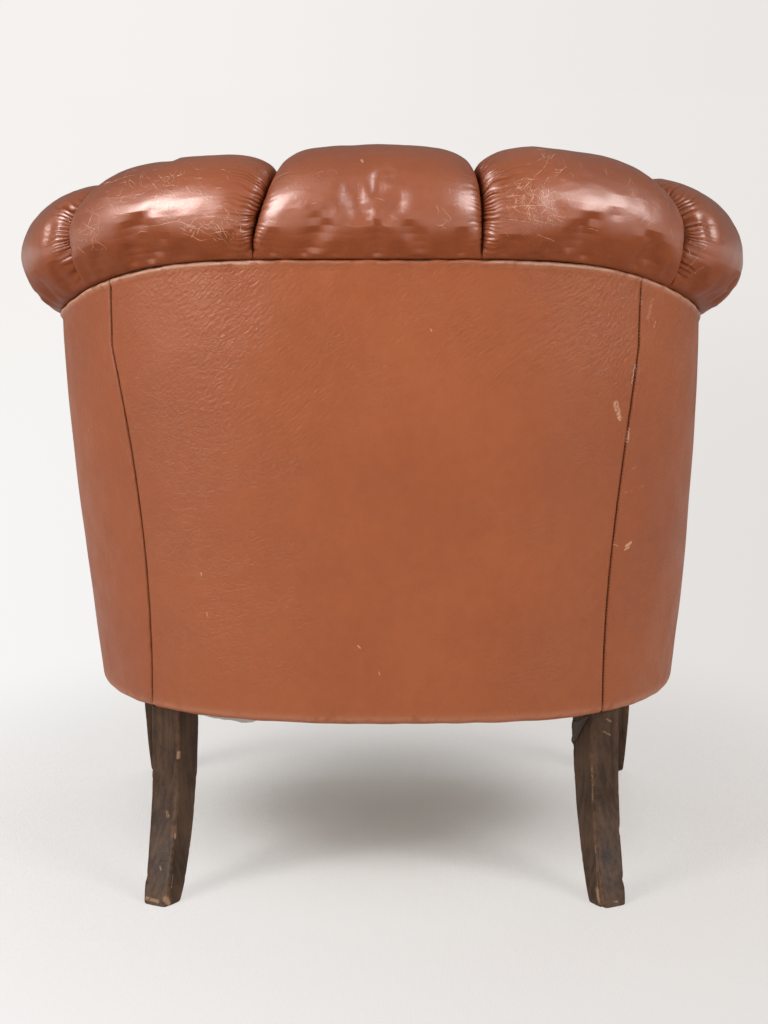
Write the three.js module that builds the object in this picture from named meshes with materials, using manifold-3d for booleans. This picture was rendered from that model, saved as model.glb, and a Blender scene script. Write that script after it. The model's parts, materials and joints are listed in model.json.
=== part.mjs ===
// A worn leather club chair: a curved wooden tub on four square legs, a sprung seat, and a wall
// padded with five fat rolls that hook over the top rail.
// Millimetres. +Z up, the floor is z = 0, the sitter faces -Y, left is the sitter's left (+X).
import * as THREE from 'three';
import { mergeVertices } from 'three/addons/utils/BufferGeometryUtils.js';
import Module from 'manifold-3d';

const wasm = await Module();
wasm.setup();

// Plan of the outside wall: a rounded back and straight arms, narrower and further in at the bottom
const bottomHeight = 202;
const flareHeight = 600;
const flarePower = 1.4;
const halfWidthTop = 355.8;
const halfWidthBottom = 323.5;
const backDepthTop = 322.6;
const backDepthBottom = 308;
const planPower = 2.545;
const backLean = 37.4;
const frontY = -640;

// Tack line, where the rolls meet the outside leather: high at the back, level along the arms
const tackHeightBack = 698;
const tackHeightArm = 561;
const tackFallDepth = 202;
const tackFallPower = 1.63;

// Places along the wall: 0 is the middle of the back, 1 where an arm gets straight, 2 its front end
const centreSeamAt = 0.228;
const armSeamAt = 0.626;
const backPanelSeamTop = 0.547;
const backPanelSeamBottom = 0.517;
const frameJointAt = 0.75;
const backPostAt = 0.3;
const cornerPostAt = 0.68;
const frontPostAt = 1.9;
const backLegAt = 0.535;

// Layers of the wall, from the outside leather inwards
const leatherThickness = 3;
const frameThickness = 26;
const liningThickness = 1.5;
const liningLap = 18;
const frontEase = 5;
const seatPadThickness = 62;
const slip = 0.95;
const gap = 0.3;

// Frame
const railHeight = 70;
const frontRailHeight = 94;
const topRailHeight = 50;
const topRailAboveTack = 20;
const postWidth = 42;
const postEase = 0.7;
const blockThickness = 28;
const blockLength = 90;
const blockHeight = 48;
const hemWidth = 15;
const hemRound = 5;
const railEndInset = 6;

// Seat, from the webbing up to the cushion
const webbingWidth = 50;
const webbingThickness = 1.2;
const webbingLift = 10;
const webbingSpacing = 120;
const springWire = 4;
const springRadius = 40;
const springWaist = 28;
const springTurns = 3.5;
const springStepsPerTurn = 8;
const platformHeight = 300;
const seatPadding = 28;
const cushionHeight = 100;
const cushionClearance = 10;
const cushionRound = 16;
const dustCoverThickness = 1.2;

// Legs
const backLegTop = 37.6;
const backLegFoot = 31.2;
const backLegTurn = 31.4;
const backLegInset = 6;
const backLegSweepOut = 10.7;
const backLegSweepBack = 69.6;
const frontLegTop = 40;
const frontLegFoot = 28;
const frontLegInset = 36.5;
const frontLegSetBack = 46;
const frontLegLeanIn = 4;
const legEdge = 1.6;
const legTaper = 1.5;
const legBend = 2.4;
const legSteps = 6;
const glideRadius = 11;
const glideHeight = 5;
const boltDiameter = 6;
const boltLength = 60;
const backBoltInset = 21;
const boltClearance = 0.3;

// Facings on the front ends of the arms and the border under the cushion
const facingThickness = 8;
const facingEdge = 4;
const borderThickness = 6;

// Padded rolls. Each row: place along the wall, radius inwards and outwards, radius up and down,
// height of the middle over the tack line, and how far the roll stands out past the outside leather
const rollSizes = {
  centre: [[0, 75, 65, 46, 22], [0.228, 75, 63, 44, 24]],
  side: [[0.228, 73, 61, 42, 26], [0.45, 73, 62, 44, 30], [0.626, 75, 66, 52, 36]],
  arm: [[0.626, 82, 62, 54, 42], [0.8, 74, 71, 57, 40], [1, 76, 61, 55, 26],
    [1.3, 69, 60, 50, 15], [2, 67, 55, 44, 12]],
};
const seamDropUp = 21;
const seamDropOut = 14;
const seamReach = 100;
const seamPower = 5;
const seamHoldAngle = 40;
const seamCuts = [8, 22];
const leastPadding = 5;
const padFootRound = 16;

const finish = (color, roughness, metalness = 0) =>
  new THREE.MeshStandardMaterial({ color, roughness, metalness });
const finishes = {
  leather: finish(0xa0552c, 0.5),
  wood: finish(0x4a3a30, 0.5),
  beech: finish(0xb99a6b, 0.8),
  jute: finish(0xa88b5a, 0.95),
  padding: finish(0xcdbf9f, 0.95),
  cotton: finish(0xcfcac0, 0.95),
  steel: finish(0x8c8f92, 0.35, 1),
};

const clamp = (v, low, high) => Math.min(Math.max(v, low), high);
const mix = (a, b, k) => a + (b - a) * k;

// How far the wall is drawn in at a height: 1 at the bottom edge, 0 at the flare's top
const drawnIn = (z) =>
  (1 - clamp((z - bottomHeight) / (flareHeight - bottomHeight), 0, 1)) ** flarePower;

// A point of the outside wall, at a place along it and a height
function wallPoint(place, z) {
  const k = drawnIn(z);
  const a = mix(halfWidthTop, halfWidthBottom, k);
  const b = mix(backDepthTop, backDepthBottom, k);
  const angle = clamp(place, -1, 1) * Math.PI / 2;
  const s = Math.sin(angle);
  const c = Math.max(Math.cos(angle), 0);
  const r = (Math.abs(s / a) ** planPower + (c / b) ** planPower) ** (-1 / planPower);
  const y = -backLean * k - b + r * c;
  const along = Math.max(Math.abs(place) - 1, 0);
  return new THREE.Vector2(r * s, mix(y, frontY, along));
}

// The direction straight out of the wall, the same at every height
function wallNormal(place) {
  const step = 0.001;
  const a = wallPoint(place - step, flareHeight);
  const b = wallPoint(place + step, flareHeight);
  const along = b.sub(a).normalize();
  return new THREE.Vector2(-along.y, along.x);
}

// A point at a place, a distance out from the wall and a height; all those of a place share a plane
const at = (place, out, z) => {
  const top = wallPoint(place, flareHeight);
  const normal = wallNormal(place);
  const lean = wallPoint(place, z).sub(top).dot(normal);
  const p = top.addScaledVector(normal, lean + out);
  return new THREE.Vector3(p.x, p.y, z);
};

function tackHeight(place) {
  const depth = Math.max(-wallPoint(place, flareHeight).y, 0);
  const fall = 1 + (depth / tackFallDepth) ** tackFallPower;
  return tackHeightArm + (tackHeightBack - tackHeightArm) / fall;
}

function wallLength(from, to) {
  const steps = 24;
  let length = 0;
  let last = wallPoint(from, flareHeight);
  for (let i = 1; i <= steps; i++) {
    const next = wallPoint(mix(from, to, i / steps), flareHeight);
    length += next.distanceTo(last);
    last = next;
  }
  return length;
}

const lengthPerPlace = wallLength(0, 1);

// Places to cut the wall at: its ends and a grid that every layer shares, so that the layers nest
const gridStep = 0.05;
const armGridStep = 0.25;
const leastGridStep = 0.35;
function placesBetween(from, to, ends = []) {
  const grid = [];
  for (let i = -20; i <= 20; i++) grid.push(i * gridStep);
  for (let i = 1; i <= 4; i++) grid.push(1 + i * armGridStep, -1 - i * armGridStep);
  const inner = [...ends.map((e) => from + e), ...ends.map((e) => to - e)];
  const margin = gridStep * leastGridStep + Math.max(0, ...ends);
  const kept = grid.filter((p) => p > from + margin && p < to - margin);
  return [from, ...inner, ...kept, to].sort((a, b) => a - b);
}

// A closed solid through rings of as many points each; flat outlines of the end rings give the caps
function loft(rings, firstOutline, lastOutline = firstOutline) {
  const count = rings[0].length;
  const positions = rings.flat().flatMap((p) => [p.x, p.y, p.z]);
  const index = [];
  for (let r = 0; r + 1 < rings.length; r++) {
    for (let i = 0; i < count; i++) {
      const j = (i + 1) % count;
      const [a, b] = [r * count + i, r * count + j];
      index.push(a, b, b + count, a, b + count, a + count);
    }
  }
  const cap = (outline, first, turned) => {
    for (const [a, b, c] of THREE.ShapeUtils.triangulateShape(outline, [])) {
      index.push(...(turned ? [first + a, first + c, first + b] : [first + a, first + b, first + c]));
    }
  };
  const clockwise = THREE.ShapeUtils.isClockWise(firstOutline);
  cap(firstOutline, 0, !clockwise);
  cap(lastOutline, (rings.length - 1) * count, clockwise);
  const geometry = new THREE.BufferGeometry();
  geometry.setAttribute('position', new THREE.Float32BufferAttribute(positions, 3));
  geometry.setIndex(index);
  return outwards(geometry);
}

// Turns every face round when the solid is inside out
function outwards(geometry) {
  const p = geometry.attributes.position;
  const index = geometry.index.array;
  const [a, b, c] = [0, 1, 2].map(() => new THREE.Vector3());
  let volume = 0;
  for (let i = 0; i < index.length; i += 3) {
    a.fromBufferAttribute(p, index[i]);
    b.fromBufferAttribute(p, index[i + 1]);
    c.fromBufferAttribute(p, index[i + 2]);
    volume += a.dot(b.cross(c));
  }
  if (volume < 0) {
    const turned = Array.from(index);
    for (let i = 0; i < turned.length; i += 3) {
      [turned[i + 1], turned[i + 2]] = [turned[i + 2], turned[i + 1]];
    }
    geometry.setIndex(turned);
  }
  return geometry;
}

const flat = (points) => points.map(([u, z]) => new THREE.Vector2(u, z));

// A piece of the wall: a closed outline of (out, height) pairs carried along the places.
// A place may itself depend on the height, as at the slanting seams
function wallPiece(places, outline) {
  const placeAt = (place, z) => (typeof place === 'function' ? place(z) : place);
  const topPlace = (place) => placeAt(place, tackHeight(placeAt(place, tackHeightBack)));
  const outlines = places.map((place) => outline(topPlace(place)));
  const rings = places.map((place, i) => outlines[i].map(([u, z]) => at(placeAt(place, z), u, z)));
  return loft(rings, flat(outlines[0]), flat(outlines.at(-1)));
}

const levels = (low, high, count) =>
  Array.from({ length: count + 1 }, (_, i) => mix(low, high, i / count));

// An upright slab: the same layer between two heights, out from one depth to another
const layer = (inner, outer, low, high, count = 1) => (place) => {
  const zs = levels(low(place), high(place), count);
  return [...zs.map((z) => [outer, z]), ...zs.reverse().map((z) => [inner, z])];
};

const chair = new THREE.Group();
function add(name, geometry, material) {
  const mesh = new THREE.Mesh(geometry, material);
  mesh.name = name;
  chair.add(mesh);
  return mesh;
}
const sides = [['left', 1], ['right', -1]];
const between = (side, from, to) => (side > 0 ? [from, to] : [-to, -from]);

// Depths of the layers, counted outwards from the outside leather's face
const frameOuter = -leatherThickness - slip;
const frameInner = frameOuter - frameThickness;
const liningOuter = frameInner - slip;
const liningInner = liningOuter - liningThickness;
const padOuter = liningInner - slip;
const seatPadFace = padOuter - seatPadThickness;

// Heights of the layers under the sitter
const railBottom = bottomHeight + leatherThickness + gap;
const railTop = railBottom + railHeight;
const paddingBottom = platformHeight + liningThickness + gap;
const deckBottom = paddingBottom + seatPadding + gap;
const deckTop = deckBottom + leatherThickness;

// Outside leather: one panel round the back and one along each arm, hemmed under the frame
const hem = [[-hemWidth, bottomHeight], [-hemRound, bottomHeight],
  [-hemRound * 0.3, bottomHeight + hemRound * 0.24], [0, bottomHeight + hemRound]];
const outsideSteps = 5;
const outsideOutline = (place) => {
  const top = tackHeight(place) - gap;
  const zs = levels(bottomHeight + hemRound, top, outsideSteps).slice(1);
  return [...hem, ...zs.map((z) => [0, z]), ...zs.reverse().map((z) => [-leatherThickness, z]),
    [-leatherThickness, railBottom - gap], [-hemWidth, railBottom - gap]];
};
const seamPlace = (side, shift) => (z) => {
  const k = clamp((z - bottomHeight) / (flareHeight - bottomHeight), 0, 1.2);
  return side * (mix(backPanelSeamBottom, backPanelSeamTop, k) + shift);
};
const seamGap = gap / lengthPerPlace;
const backPanelGridEnd = 0.45;
const armPanelGridStart = 0.6;
const backPanelEdge = (side, reach) => (z) =>
  mix(side * backPanelGridEnd, seamPlace(side, -seamGap)(z), reach);
add('outside_back', wallPiece([backPanelEdge(-1, 1), backPanelEdge(-1, 0.5),
  ...placesBetween(-backPanelGridEnd, backPanelGridEnd), backPanelEdge(1, 0.5),
  backPanelEdge(1, 1)], outsideOutline), finishes.leather);
for (const [name, side] of sides) {
  const edge = seamPlace(side, seamGap);
  const places = [edge, (z) => mix(edge(z), side * armPanelGridStart, 0.5),
    ...placesBetween(armPanelGridStart, 2).map((p) => side * p)];
  add(`outside_arm_${name}`, wallPiece(places, outsideOutline), finishes.leather);
}

// Wooden frame
const seatRail = layer(frameInner, frameOuter, () => railBottom, () => railTop);
const topRail = layer(frameInner, frameOuter,
  (p) => tackHeight(p) + topRailAboveTack - topRailHeight, (p) => tackHeight(p) + topRailAboveTack);
const post = layer(frameInner + postEase, frameOuter - postEase, () => railTop + gap,
  (p) => tackHeight(p) + topRailAboveTack - topRailHeight - slip, 4);
const postReach = postWidth / 2 / lengthPerPlace;
const armReach = postWidth / 2 / wallLength(1, 2);
const endReach = railEndInset / wallLength(1, 2);

const boltCut = (geometry, points) => {
  let solid = toSolid(geometry);
  for (const [x, y] of points) {
    const hole = new THREE.CylinderGeometry(boltDiameter / 2 + boltClearance,
      boltDiameter / 2 + boltClearance, boltLength + 2 * boltClearance, 12);
    hole.rotateX(Math.PI / 2).translate(x, y, bottomHeight);
    solid = solid.subtract(toSolid(hole));
  }
  return fromSolid(solid);
};
function toSolid(geometry) {
  const bare = geometry.clone();
  bare.deleteAttribute('normal');
  bare.deleteAttribute('uv');
  const merged = mergeVertices(bare);
  return new wasm.Manifold(new wasm.Mesh({
    numProp: 3,
    vertProperties: new Float32Array(merged.attributes.position.array),
    triVerts: new Uint32Array(merged.index.array),
  }));
}
function fromSolid(solid) {
  const mesh = solid.getMesh();
  const geometry = new THREE.BufferGeometry();
  geometry.setAttribute('position', new THREE.BufferAttribute(mesh.vertProperties, 3));
  geometry.setIndex(new THREE.BufferAttribute(mesh.triVerts, 1));
  return geometry;
}

const backLegOut = -backLegTop / 2 - backLegInset;
const backLegHeads = sides.map(([, side]) => at(side * backLegAt, backLegOut, bottomHeight));
const frontLegX = halfWidthBottom - frontLegInset;
const frontLegY = frontY + frontLegSetBack;
const frontLegHeads = sides.map(([, side]) =>
  new THREE.Vector3(side * frontLegX, frontLegY, bottomHeight));
const backBolts = sides.map(([, side]) => at(side * backLegAt, -backBoltInset, bottomHeight));
const boltPlaces = [...backBolts, ...frontLegHeads];

add('seat_rail_back', boltCut(wallPiece(placesBetween(-frameJointAt, frameJointAt), seatRail),
  backBolts.map((h) => [h.x, h.y])), finishes.beech);
add('top_rail', wallPiece(placesBetween(-frameJointAt, frameJointAt), topRail), finishes.beech);
for (const [name, side] of sides) {
  const jointGap = gap / lengthPerPlace;
  const [from, to] = between(side, frameJointAt + jointGap, 2 - endReach);
  add(`seat_rail_${name}`, wallPiece(placesBetween(from, to), seatRail), finishes.beech);
  add(`arm_rail_${name}`, wallPiece(placesBetween(from, to), topRail), finishes.beech);
  const posts = [['back_post', backPostAt, postReach], ['corner_post', cornerPostAt, postReach],
    ['front_post', frontPostAt, armReach]];
  for (const [kind, place, reach] of posts) {
    const [low, high] = between(side, place - reach, place + reach);
    add(`${kind}_${name}`, wallPiece([low, (low + high) / 2, high], post), finishes.beech);
  }
}

// A block between two plan outlines, one at each height
function prism(lower, low, upper, high) {
  const ring = (points, z) => points.map(([x, y]) => new THREE.Vector3(x, y, z));
  return loft([ring(lower, low), ring(upper, high)], flat(lower), flat(upper));
}

// Front rail, butted between the side rails, so its ends lean as they do
const railFaceX = (z) => wallPoint(2, z).x + frameInner - gap;
const frontRailFace = frontY + gap;
const frontRailBack = frontRailFace + frameThickness;
const frontRailTop = railBottom + frontRailHeight;
const railEnds = (z) => {
  const x = railFaceX(z);
  return [[-x, frontRailFace], [x, frontRailFace], [x, frontRailBack], [-x, frontRailBack]];
};
add('seat_rail_front', prism(railEnds(railBottom), railBottom, railEnds(frontRailTop),
  frontRailTop), finishes.beech);

// Corner blocks: curved ones glued inside the back rail, three-sided ones in the front corners
const blockTop = railBottom + blockHeight;
for (const [name, side] of sides) {
  const reach = blockLength / 2 / lengthPerPlace;
  const blockOuter = frameInner - slip;
  const block = layer(blockOuter - blockThickness, blockOuter, () => railBottom, () => blockTop);
  const [low, high] = between(side, backLegAt - reach, backLegAt + reach);
  add(`corner_block_back_${name}`, wallPiece(placesBetween(low, high), block), finishes.beech);
  const corner = (z) => {
    const x = side * railFaceX(z);
    const y = frontRailBack + gap;
    return [[x, y], [x, y + blockLength], [x - side * blockLength, y]];
  };
  add(`corner_block_front_${name}`, boltCut(prism(corner(railBottom), railBottom,
    corner(blockTop), blockTop), [[side * frontLegX, frontLegY]]), finishes.beech);
}

// Square legs with eased edges. The back pair turns with the wall and sweeps backwards
function squareSection(size, turn, centre) {
  const h = size / 2;
  const e = h - legEdge;
  const corners = [[h, e], [e, h], [-e, h], [-h, e], [-h, -e], [-e, -h], [e, -h], [h, -e]];
  return corners.map(([x, y]) => new THREE.Vector3(x, y, 0)
    .applyAxisAngle(new THREE.Vector3(0, 0, 1), turn).add(centre));
}
function leg(head, bolt, topSize, footSize, footHeight, turn, sweep) {
  const rings = [];
  for (let i = 0; i <= legSteps; i++) {
    const down = i / legSteps;
    const z = mix(bottomHeight - gap, footHeight, down);
    const curve = down ** legBend;
    const centre = new THREE.Vector3(head.x + sweep.x * curve, head.y + sweep.y * curve, z);
    rings.push(squareSection(mix(topSize, footSize, down ** legTaper), turn, centre));
  }
  const outline = rings[0].map((p) => new THREE.Vector2(p.x, p.y));
  const geometry = loft(rings, outline);
  return boltCut(geometry, [[bolt.x, bolt.y]]);
}
sides.forEach(([name, side], i) => {
  const turn = -side * THREE.MathUtils.degToRad(backLegTurn);
  add(`leg_back_${name}`, leg(backLegHeads[i], backBolts[i], backLegTop, backLegFoot, 0, turn,
    new THREE.Vector2(side * backLegSweepOut, backLegSweepBack)), finishes.wood);
  const lean = new THREE.Vector2(-side * frontLegLeanIn, 0);
  add(`leg_front_${name}`, leg(frontLegHeads[i], frontLegHeads[i], frontLegTop, frontLegFoot,
    glideHeight, 0, lean), finishes.wood);
  const dome = [[0, 0], [glideRadius * 0.5, 0], [glideRadius * 0.9, glideHeight * 0.3],
    [glideRadius, glideHeight * 0.6], [glideRadius, glideHeight - gap], [0, glideHeight - gap]];
  const glide = new THREE.LatheGeometry(flat(dome), 16).rotateX(Math.PI / 2)
    .translate(side * (frontLegX - frontLegLeanIn), frontLegY, 0);
  add(`glide_front_${name}`, glide, finishes.steel);
});
boltPlaces.forEach((head, i) => {
  const bolt = new THREE.CylinderGeometry(boltDiameter / 2, boltDiameter / 2, boltLength, 12)
    .rotateX(Math.PI / 2).translate(head.x, head.y, bottomHeight);
  add(`leg_bolt_${['back_left', 'back_right', 'front_left', 'front_right'][i]}`, bolt,
    finishes.steel);
});

// Webbing: three straps each way, from rail to rail. A strap's corner lies where the wall's inner
// face passes a given distance from the middle, or a given distance back
const halvings = 30;
function wallWhere(before, from, to, out, z) {
  let low = from;
  let high = to;
  for (let i = 0; i < halvings; i++) {
    const middle = (low + high) / 2;
    if (before(at(middle, out, z))) low = middle;
    else high = middle;
  }
  return at(low, out, z);
}
const railPoint = (x, out, z) => wallWhere((p) => p.x < Math.abs(x), 0, 1, out, z).y;
const railAcross = (y, out, z) => wallWhere((p) => p.y > y, 0.2, 2, out, z).x;
const webbingLow = railBottom + webbingLift;
const webbingHigh = webbingLow + webbingThickness + gap;
const seatMiddleY = (frontRailBack + railPoint(0, frameInner, railBottom)) / 2;
for (let i = -1; i <= 1; i++) {
  const x = i * webbingSpacing;
  const edges = [x - webbingWidth / 2, x + webbingWidth / 2];
  const back = edges.map((e) => railPoint(e, frameInner - gap - slip, webbingLow));
  const strap = [[edges[0], frontRailBack + gap], [edges[1], frontRailBack + gap],
    [edges[1], back[1]], [edges[0], back[0]]];
  add(`webbing_long_${i + 2}`, prism(strap, webbingLow, strap, webbingLow + webbingThickness),
    finishes.jute);
  const y = seatMiddleY + i * webbingSpacing;
  const across = (side, edge) => side * railAcross(edge, frameInner - gap - slip, webbingHigh);
  const ys = [y - webbingWidth / 2, y + webbingWidth / 2];
  const cross = [[across(-1, ys[0]), ys[0]], [across(1, ys[0]), ys[0]], [across(1, ys[1]), ys[1]],
    [across(-1, ys[1]), ys[1]]];
  add(`webbing_cross_${i + 2}`, prism(cross, webbingHigh, cross, webbingHigh + webbingThickness),
    finishes.jute);
}

// Nine waisted coil springs, standing where the straps cross and carrying the platform
const springBottom = webbingHigh + webbingThickness + gap + springWire / 2;
const springTop = platformHeight - gap - springWire / 2;
class SpringLine extends THREE.Curve {
  getPoint(k, target = new THREE.Vector3()) {
    const turned = k * springTurns * 2 * Math.PI;
    const radius = mix(springWaist, springRadius, (2 * k - 1) ** 2);
    return target.set(radius * Math.cos(turned), radius * Math.sin(turned),
      mix(springBottom, springTop, k));
  }
}
const wireSection = new THREE.Shape();
const wireHalf = springWire / 2;
[[wireHalf, 0], [0, wireHalf], [-wireHalf, 0], [0, -wireHalf]].forEach(([x, y], i) =>
  (i ? wireSection.lineTo(x, y) : wireSection.moveTo(x, y)));
for (let row = -1; row <= 1; row++) {
  for (let column = -1; column <= 1; column++) {
    const spring = new THREE.ExtrudeGeometry(wireSection, {
      steps: springTurns * springStepsPerTurn,
      extrudePath: new SpringLine(),
    });
    spring.translate(column * webbingSpacing, seatMiddleY + row * webbingSpacing, 0);
    add(`seat_spring_${3 * (row + 1) + column + 2}`, spring, finishes.steel);
  }
}

// Flat layers of the seat: outlines that follow the wall at one depth and end at the front
function seatLayer(stack) {
  const rings = stack.map(([inset, z, front = 0]) => {
    const ring = placesBetween(-2, 2).map((p) => at(p, inset, z));
    ring[0].y += front;
    ring.at(-1).y += front;
    return ring;
  });
  const outline = (ring) => ring.map((p) => new THREE.Vector2(p.x, p.y));
  return loft(rings, outline(rings[0]), outline(rings.at(-1)));
}
const slab = (inset, low, high, front = gap) => seatLayer([[inset, low, front], [inset, high, front]]);
add('spring_hessian', slab(padOuter, platformHeight, platformHeight + liningThickness),
  finishes.jute);
add('seat_padding', slab(padOuter, paddingBottom, deckBottom - gap), finishes.padding);
add('seat_deck', slab(padOuter, deckBottom, deckTop), finishes.leather);
add('dust_cover', boltCut(slab(-hemWidth - gap, bottomHeight, bottomHeight + dustCoverThickness,
  frameThickness / 2), boltPlaces.map((h) => [h.x, h.y])), finishes.cotton);
const cushionFace = seatPadFace - cushionClearance;
const cushionBottom = deckTop + gap;
const cushionTop = cushionBottom + cushionHeight;
add('seat_cushion', seatLayer([
  [cushionFace - cushionRound, cushionBottom, cushionRound],
  [cushionFace - cushionRound * 0.3, cushionBottom + cushionRound * 0.3, cushionRound * 0.3],
  [cushionFace, cushionBottom + cushionRound, 0],
  [cushionFace, cushionTop - cushionRound * 1.5, 0],
  [cushionFace - cushionRound * 0.3, cushionTop - cushionRound * 0.7, cushionRound * 0.3],
  [cushionFace - cushionRound, cushionTop - cushionRound * 0.4, cushionRound],
  [cushionFace - cushionRound * 4, cushionTop, cushionRound * 4],
]), finishes.leather);

// Lining tacked inside the frame, behind the padding
const liningEnd = 2 - (frameThickness + frontEase) / wallLength(1, 2);
add('wall_lining', wallPiece(placesBetween(-liningEnd, liningEnd), layer(liningInner,
  liningOuter, () => railTop - liningLap, (p) => tackHeight(p), 3)), finishes.jute);

// Sizes of a roll at a place, read off its rows
function rollAt(rows, place) {
  const p = clamp(Math.abs(place), rows[0][0], rows.at(-1)[0]);
  const i = Math.max(rows.findIndex((row) => row[0] >= p), 1);
  const k = (p - rows[i - 1][0]) / (rows[i][0] - rows[i - 1][0]);
  return rows[i].slice(1).map((v, n) => mix(rows[i - 1][n + 1], v, k));
}

// How hard the two seams pull the padding in at a place
function seamPull(place) {
  const near = [centreSeamAt, armSeamAt].map((seam) =>
    wallLength(...[seam, Math.abs(place)].sort((a, b) => a - b)));
  return Math.max(...near.map((d) => Math.max(1 - d / seamReach, 0) ** seamPower));
}

// Section of a roll: from the tack line round its outside and top, down the inside of the wall
// to the seat, and back up round the lining and the top rail
const footAngles = [0.72, 0.36];
const rollAngles = [8, 25, 45, 65, 85, 105, 125, 145, 165, 185];
const insideSteps = [0.35, 0.7, 1];
function rollSurface(rows, place) {
  const [radiusOut, radiusUp, lift, overhang] = rollAt(rows, place);
  const pull = seamPull(place);
  const tack = tackHeight(place);
  const middle = overhang - radiusOut;
  const start = -Math.asin(Math.min(lift / radiusUp, 1)) * 180 / Math.PI;
  const arc = [...footAngles.map((k) => start * k), ...rollAngles].map((degrees) => {
    const angle = degrees * Math.PI / 180;
    const hold = clamp((degrees - start) / seamHoldAngle, 0, 1) * pull;
    const out = middle + (radiusOut - seamDropOut * hold) * Math.cos(angle);
    const up = lift + (radiusUp - seamDropUp * hold) * Math.sin(angle);
    return [up < topRailAboveTack + leastPadding ? Math.max(out, gap) : out, tack + up];
  });
  const [lastOut, lastHeight] = arc.at(-1);
  const inside = insideSteps.map((k) =>
    [mix(lastOut, seatPadFace, k), mix(lastHeight, cushionTop, k)]);
  inside.push([seatPadFace, deckTop + padFootRound]);
  return { arc, inside, tack };
}
const rollOutline = (rows) => (place) => {
  const { arc, inside, tack } = rollSurface(rows, place);
  const railCrown = tack + topRailAboveTack + slip;
  return [[0, tack + gap], ...arc, ...inside, [seatPadFace + padFootRound / 2, deckTop + gap],
    [padOuter, deckTop + gap], [padOuter, railCrown], [frameOuter + slip, railCrown],
    [frameOuter + slip, tack + gap]];
};
const nearSeam = seamCuts.map((d) => d / lengthPerPlace);
const rollGap = slip / lengthPerPlace;
const rollPiece = (rows, from, to) =>
  wallPiece(placesBetween(from + rollGap, to - rollGap, nearSeam), rollOutline(rows));
add('back_roll_centre', rollPiece(rollSizes.centre, -centreSeamAt, centreSeamAt), finishes.leather);
for (const [name, side] of sides) {
  add(`back_roll_${name}`, rollPiece(rollSizes.side, ...between(side, centreSeamAt, armSeamAt)),
    finishes.leather);
  add(`arm_roll_${name}`, rollPiece(rollSizes.arm, ...between(side, armSeamAt, 2)),
    finishes.leather);
}

// Facings that close the front ends of the arms, and the border between them under the cushion
for (const [name, side] of sides) {
  const { arc, inside } = rollSurface(rollSizes.arm, 2);
  const outline = [[0, bottomHeight], ...levels(bottomHeight, tackHeight(2), 4).slice(1)
    .map((z) => [0, z]), ...arc, ...inside, [seatPadFace, deckTop], [seatPadFace, bottomHeight]];
  const middle = outline.reduce((sum, [u]) => sum + u, 0) / outline.length;
  const ring = (y, inset) => outline.map(([u, z]) => {
    const k = inset / Math.abs(seatPadFace / 2);
    const p = at(2, mix(u, middle, k), z + (z > tackHeight(2) ? -inset : 0));
    return new THREE.Vector3(side * p.x, y, p.z);
  });
  const rings = [ring(frontY - gap, 0), ring(frontY - facingThickness + facingEdge, 0),
    ring(frontY - facingThickness, facingEdge)];
  const shape = rings.map((r) => r.map((p) => new THREE.Vector2(p.x, p.z)));
  add(`arm_facing_${name}`, loft(rings, shape[0], shape[2]), finishes.leather);
}
const borderEnd = (z) => wallPoint(2, z).x + seatPadFace - gap;
const borderPlan = (z) => {
  const x = borderEnd(z);
  return [[-x, frontY], [x, frontY], [x, frontY - borderThickness], [-x, frontY - borderThickness]];
};
add('front_border', prism(borderPlan(bottomHeight), bottomHeight, borderPlan(deckTop), deckTop),
  finishes.leather);

// The origin lies on the floor, under the middle of the chair
const box = new THREE.Box3().setFromObject(chair);
chair.position.set(0, -(box.min.y + box.max.y) / 2, 0);

export default chair;
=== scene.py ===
import json
import math

import bmesh
import bpy
import numpy as np
from mathutils import Matrix, Vector
from mathutils.bvhtree import BVHTree
from mathutils.geometry import tessellate_polygon


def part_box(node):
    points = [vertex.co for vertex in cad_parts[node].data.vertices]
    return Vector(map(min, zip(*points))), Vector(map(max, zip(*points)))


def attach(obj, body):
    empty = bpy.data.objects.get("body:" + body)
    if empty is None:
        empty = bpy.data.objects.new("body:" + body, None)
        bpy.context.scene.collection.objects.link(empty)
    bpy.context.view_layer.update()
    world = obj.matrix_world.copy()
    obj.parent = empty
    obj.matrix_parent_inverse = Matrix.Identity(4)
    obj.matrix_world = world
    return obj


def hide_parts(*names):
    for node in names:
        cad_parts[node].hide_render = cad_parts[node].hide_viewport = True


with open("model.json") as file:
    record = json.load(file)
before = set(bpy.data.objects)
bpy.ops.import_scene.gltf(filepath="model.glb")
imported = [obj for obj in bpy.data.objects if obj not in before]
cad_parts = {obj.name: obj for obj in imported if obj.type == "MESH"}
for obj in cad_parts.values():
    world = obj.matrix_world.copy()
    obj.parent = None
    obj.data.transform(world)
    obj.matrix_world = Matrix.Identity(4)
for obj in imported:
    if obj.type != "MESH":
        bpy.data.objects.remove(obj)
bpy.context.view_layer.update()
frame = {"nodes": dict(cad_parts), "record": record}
scene = bpy.context.scene
scene.view_settings.view_transform = "Standard"
print("frame loaded:", len(frame["nodes"]), "nodes")

mm = 0.001
sides = (("left", 1), ("right", -1))


# numbers and noise
def mix(a, b, k):
    return a + (b - a) * k


def smooth(k):
    k = np.clip(k, 0, 1)
    return k * k * (3 - 2 * k)


def hashed(x, y, z, seed):
    n = (x * 374761393 + y * 668265263 + z * 1440662683 + seed * 974634777) & 0xFFFFFFFF
    n = ((n ^ (n >> 13)) * 1274126177) & 0xFFFFFFFF
    n = ((n ^ (n >> 16)) * 668265263) & 0xFFFFFFFF
    return n ^ (n >> 15)


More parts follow.
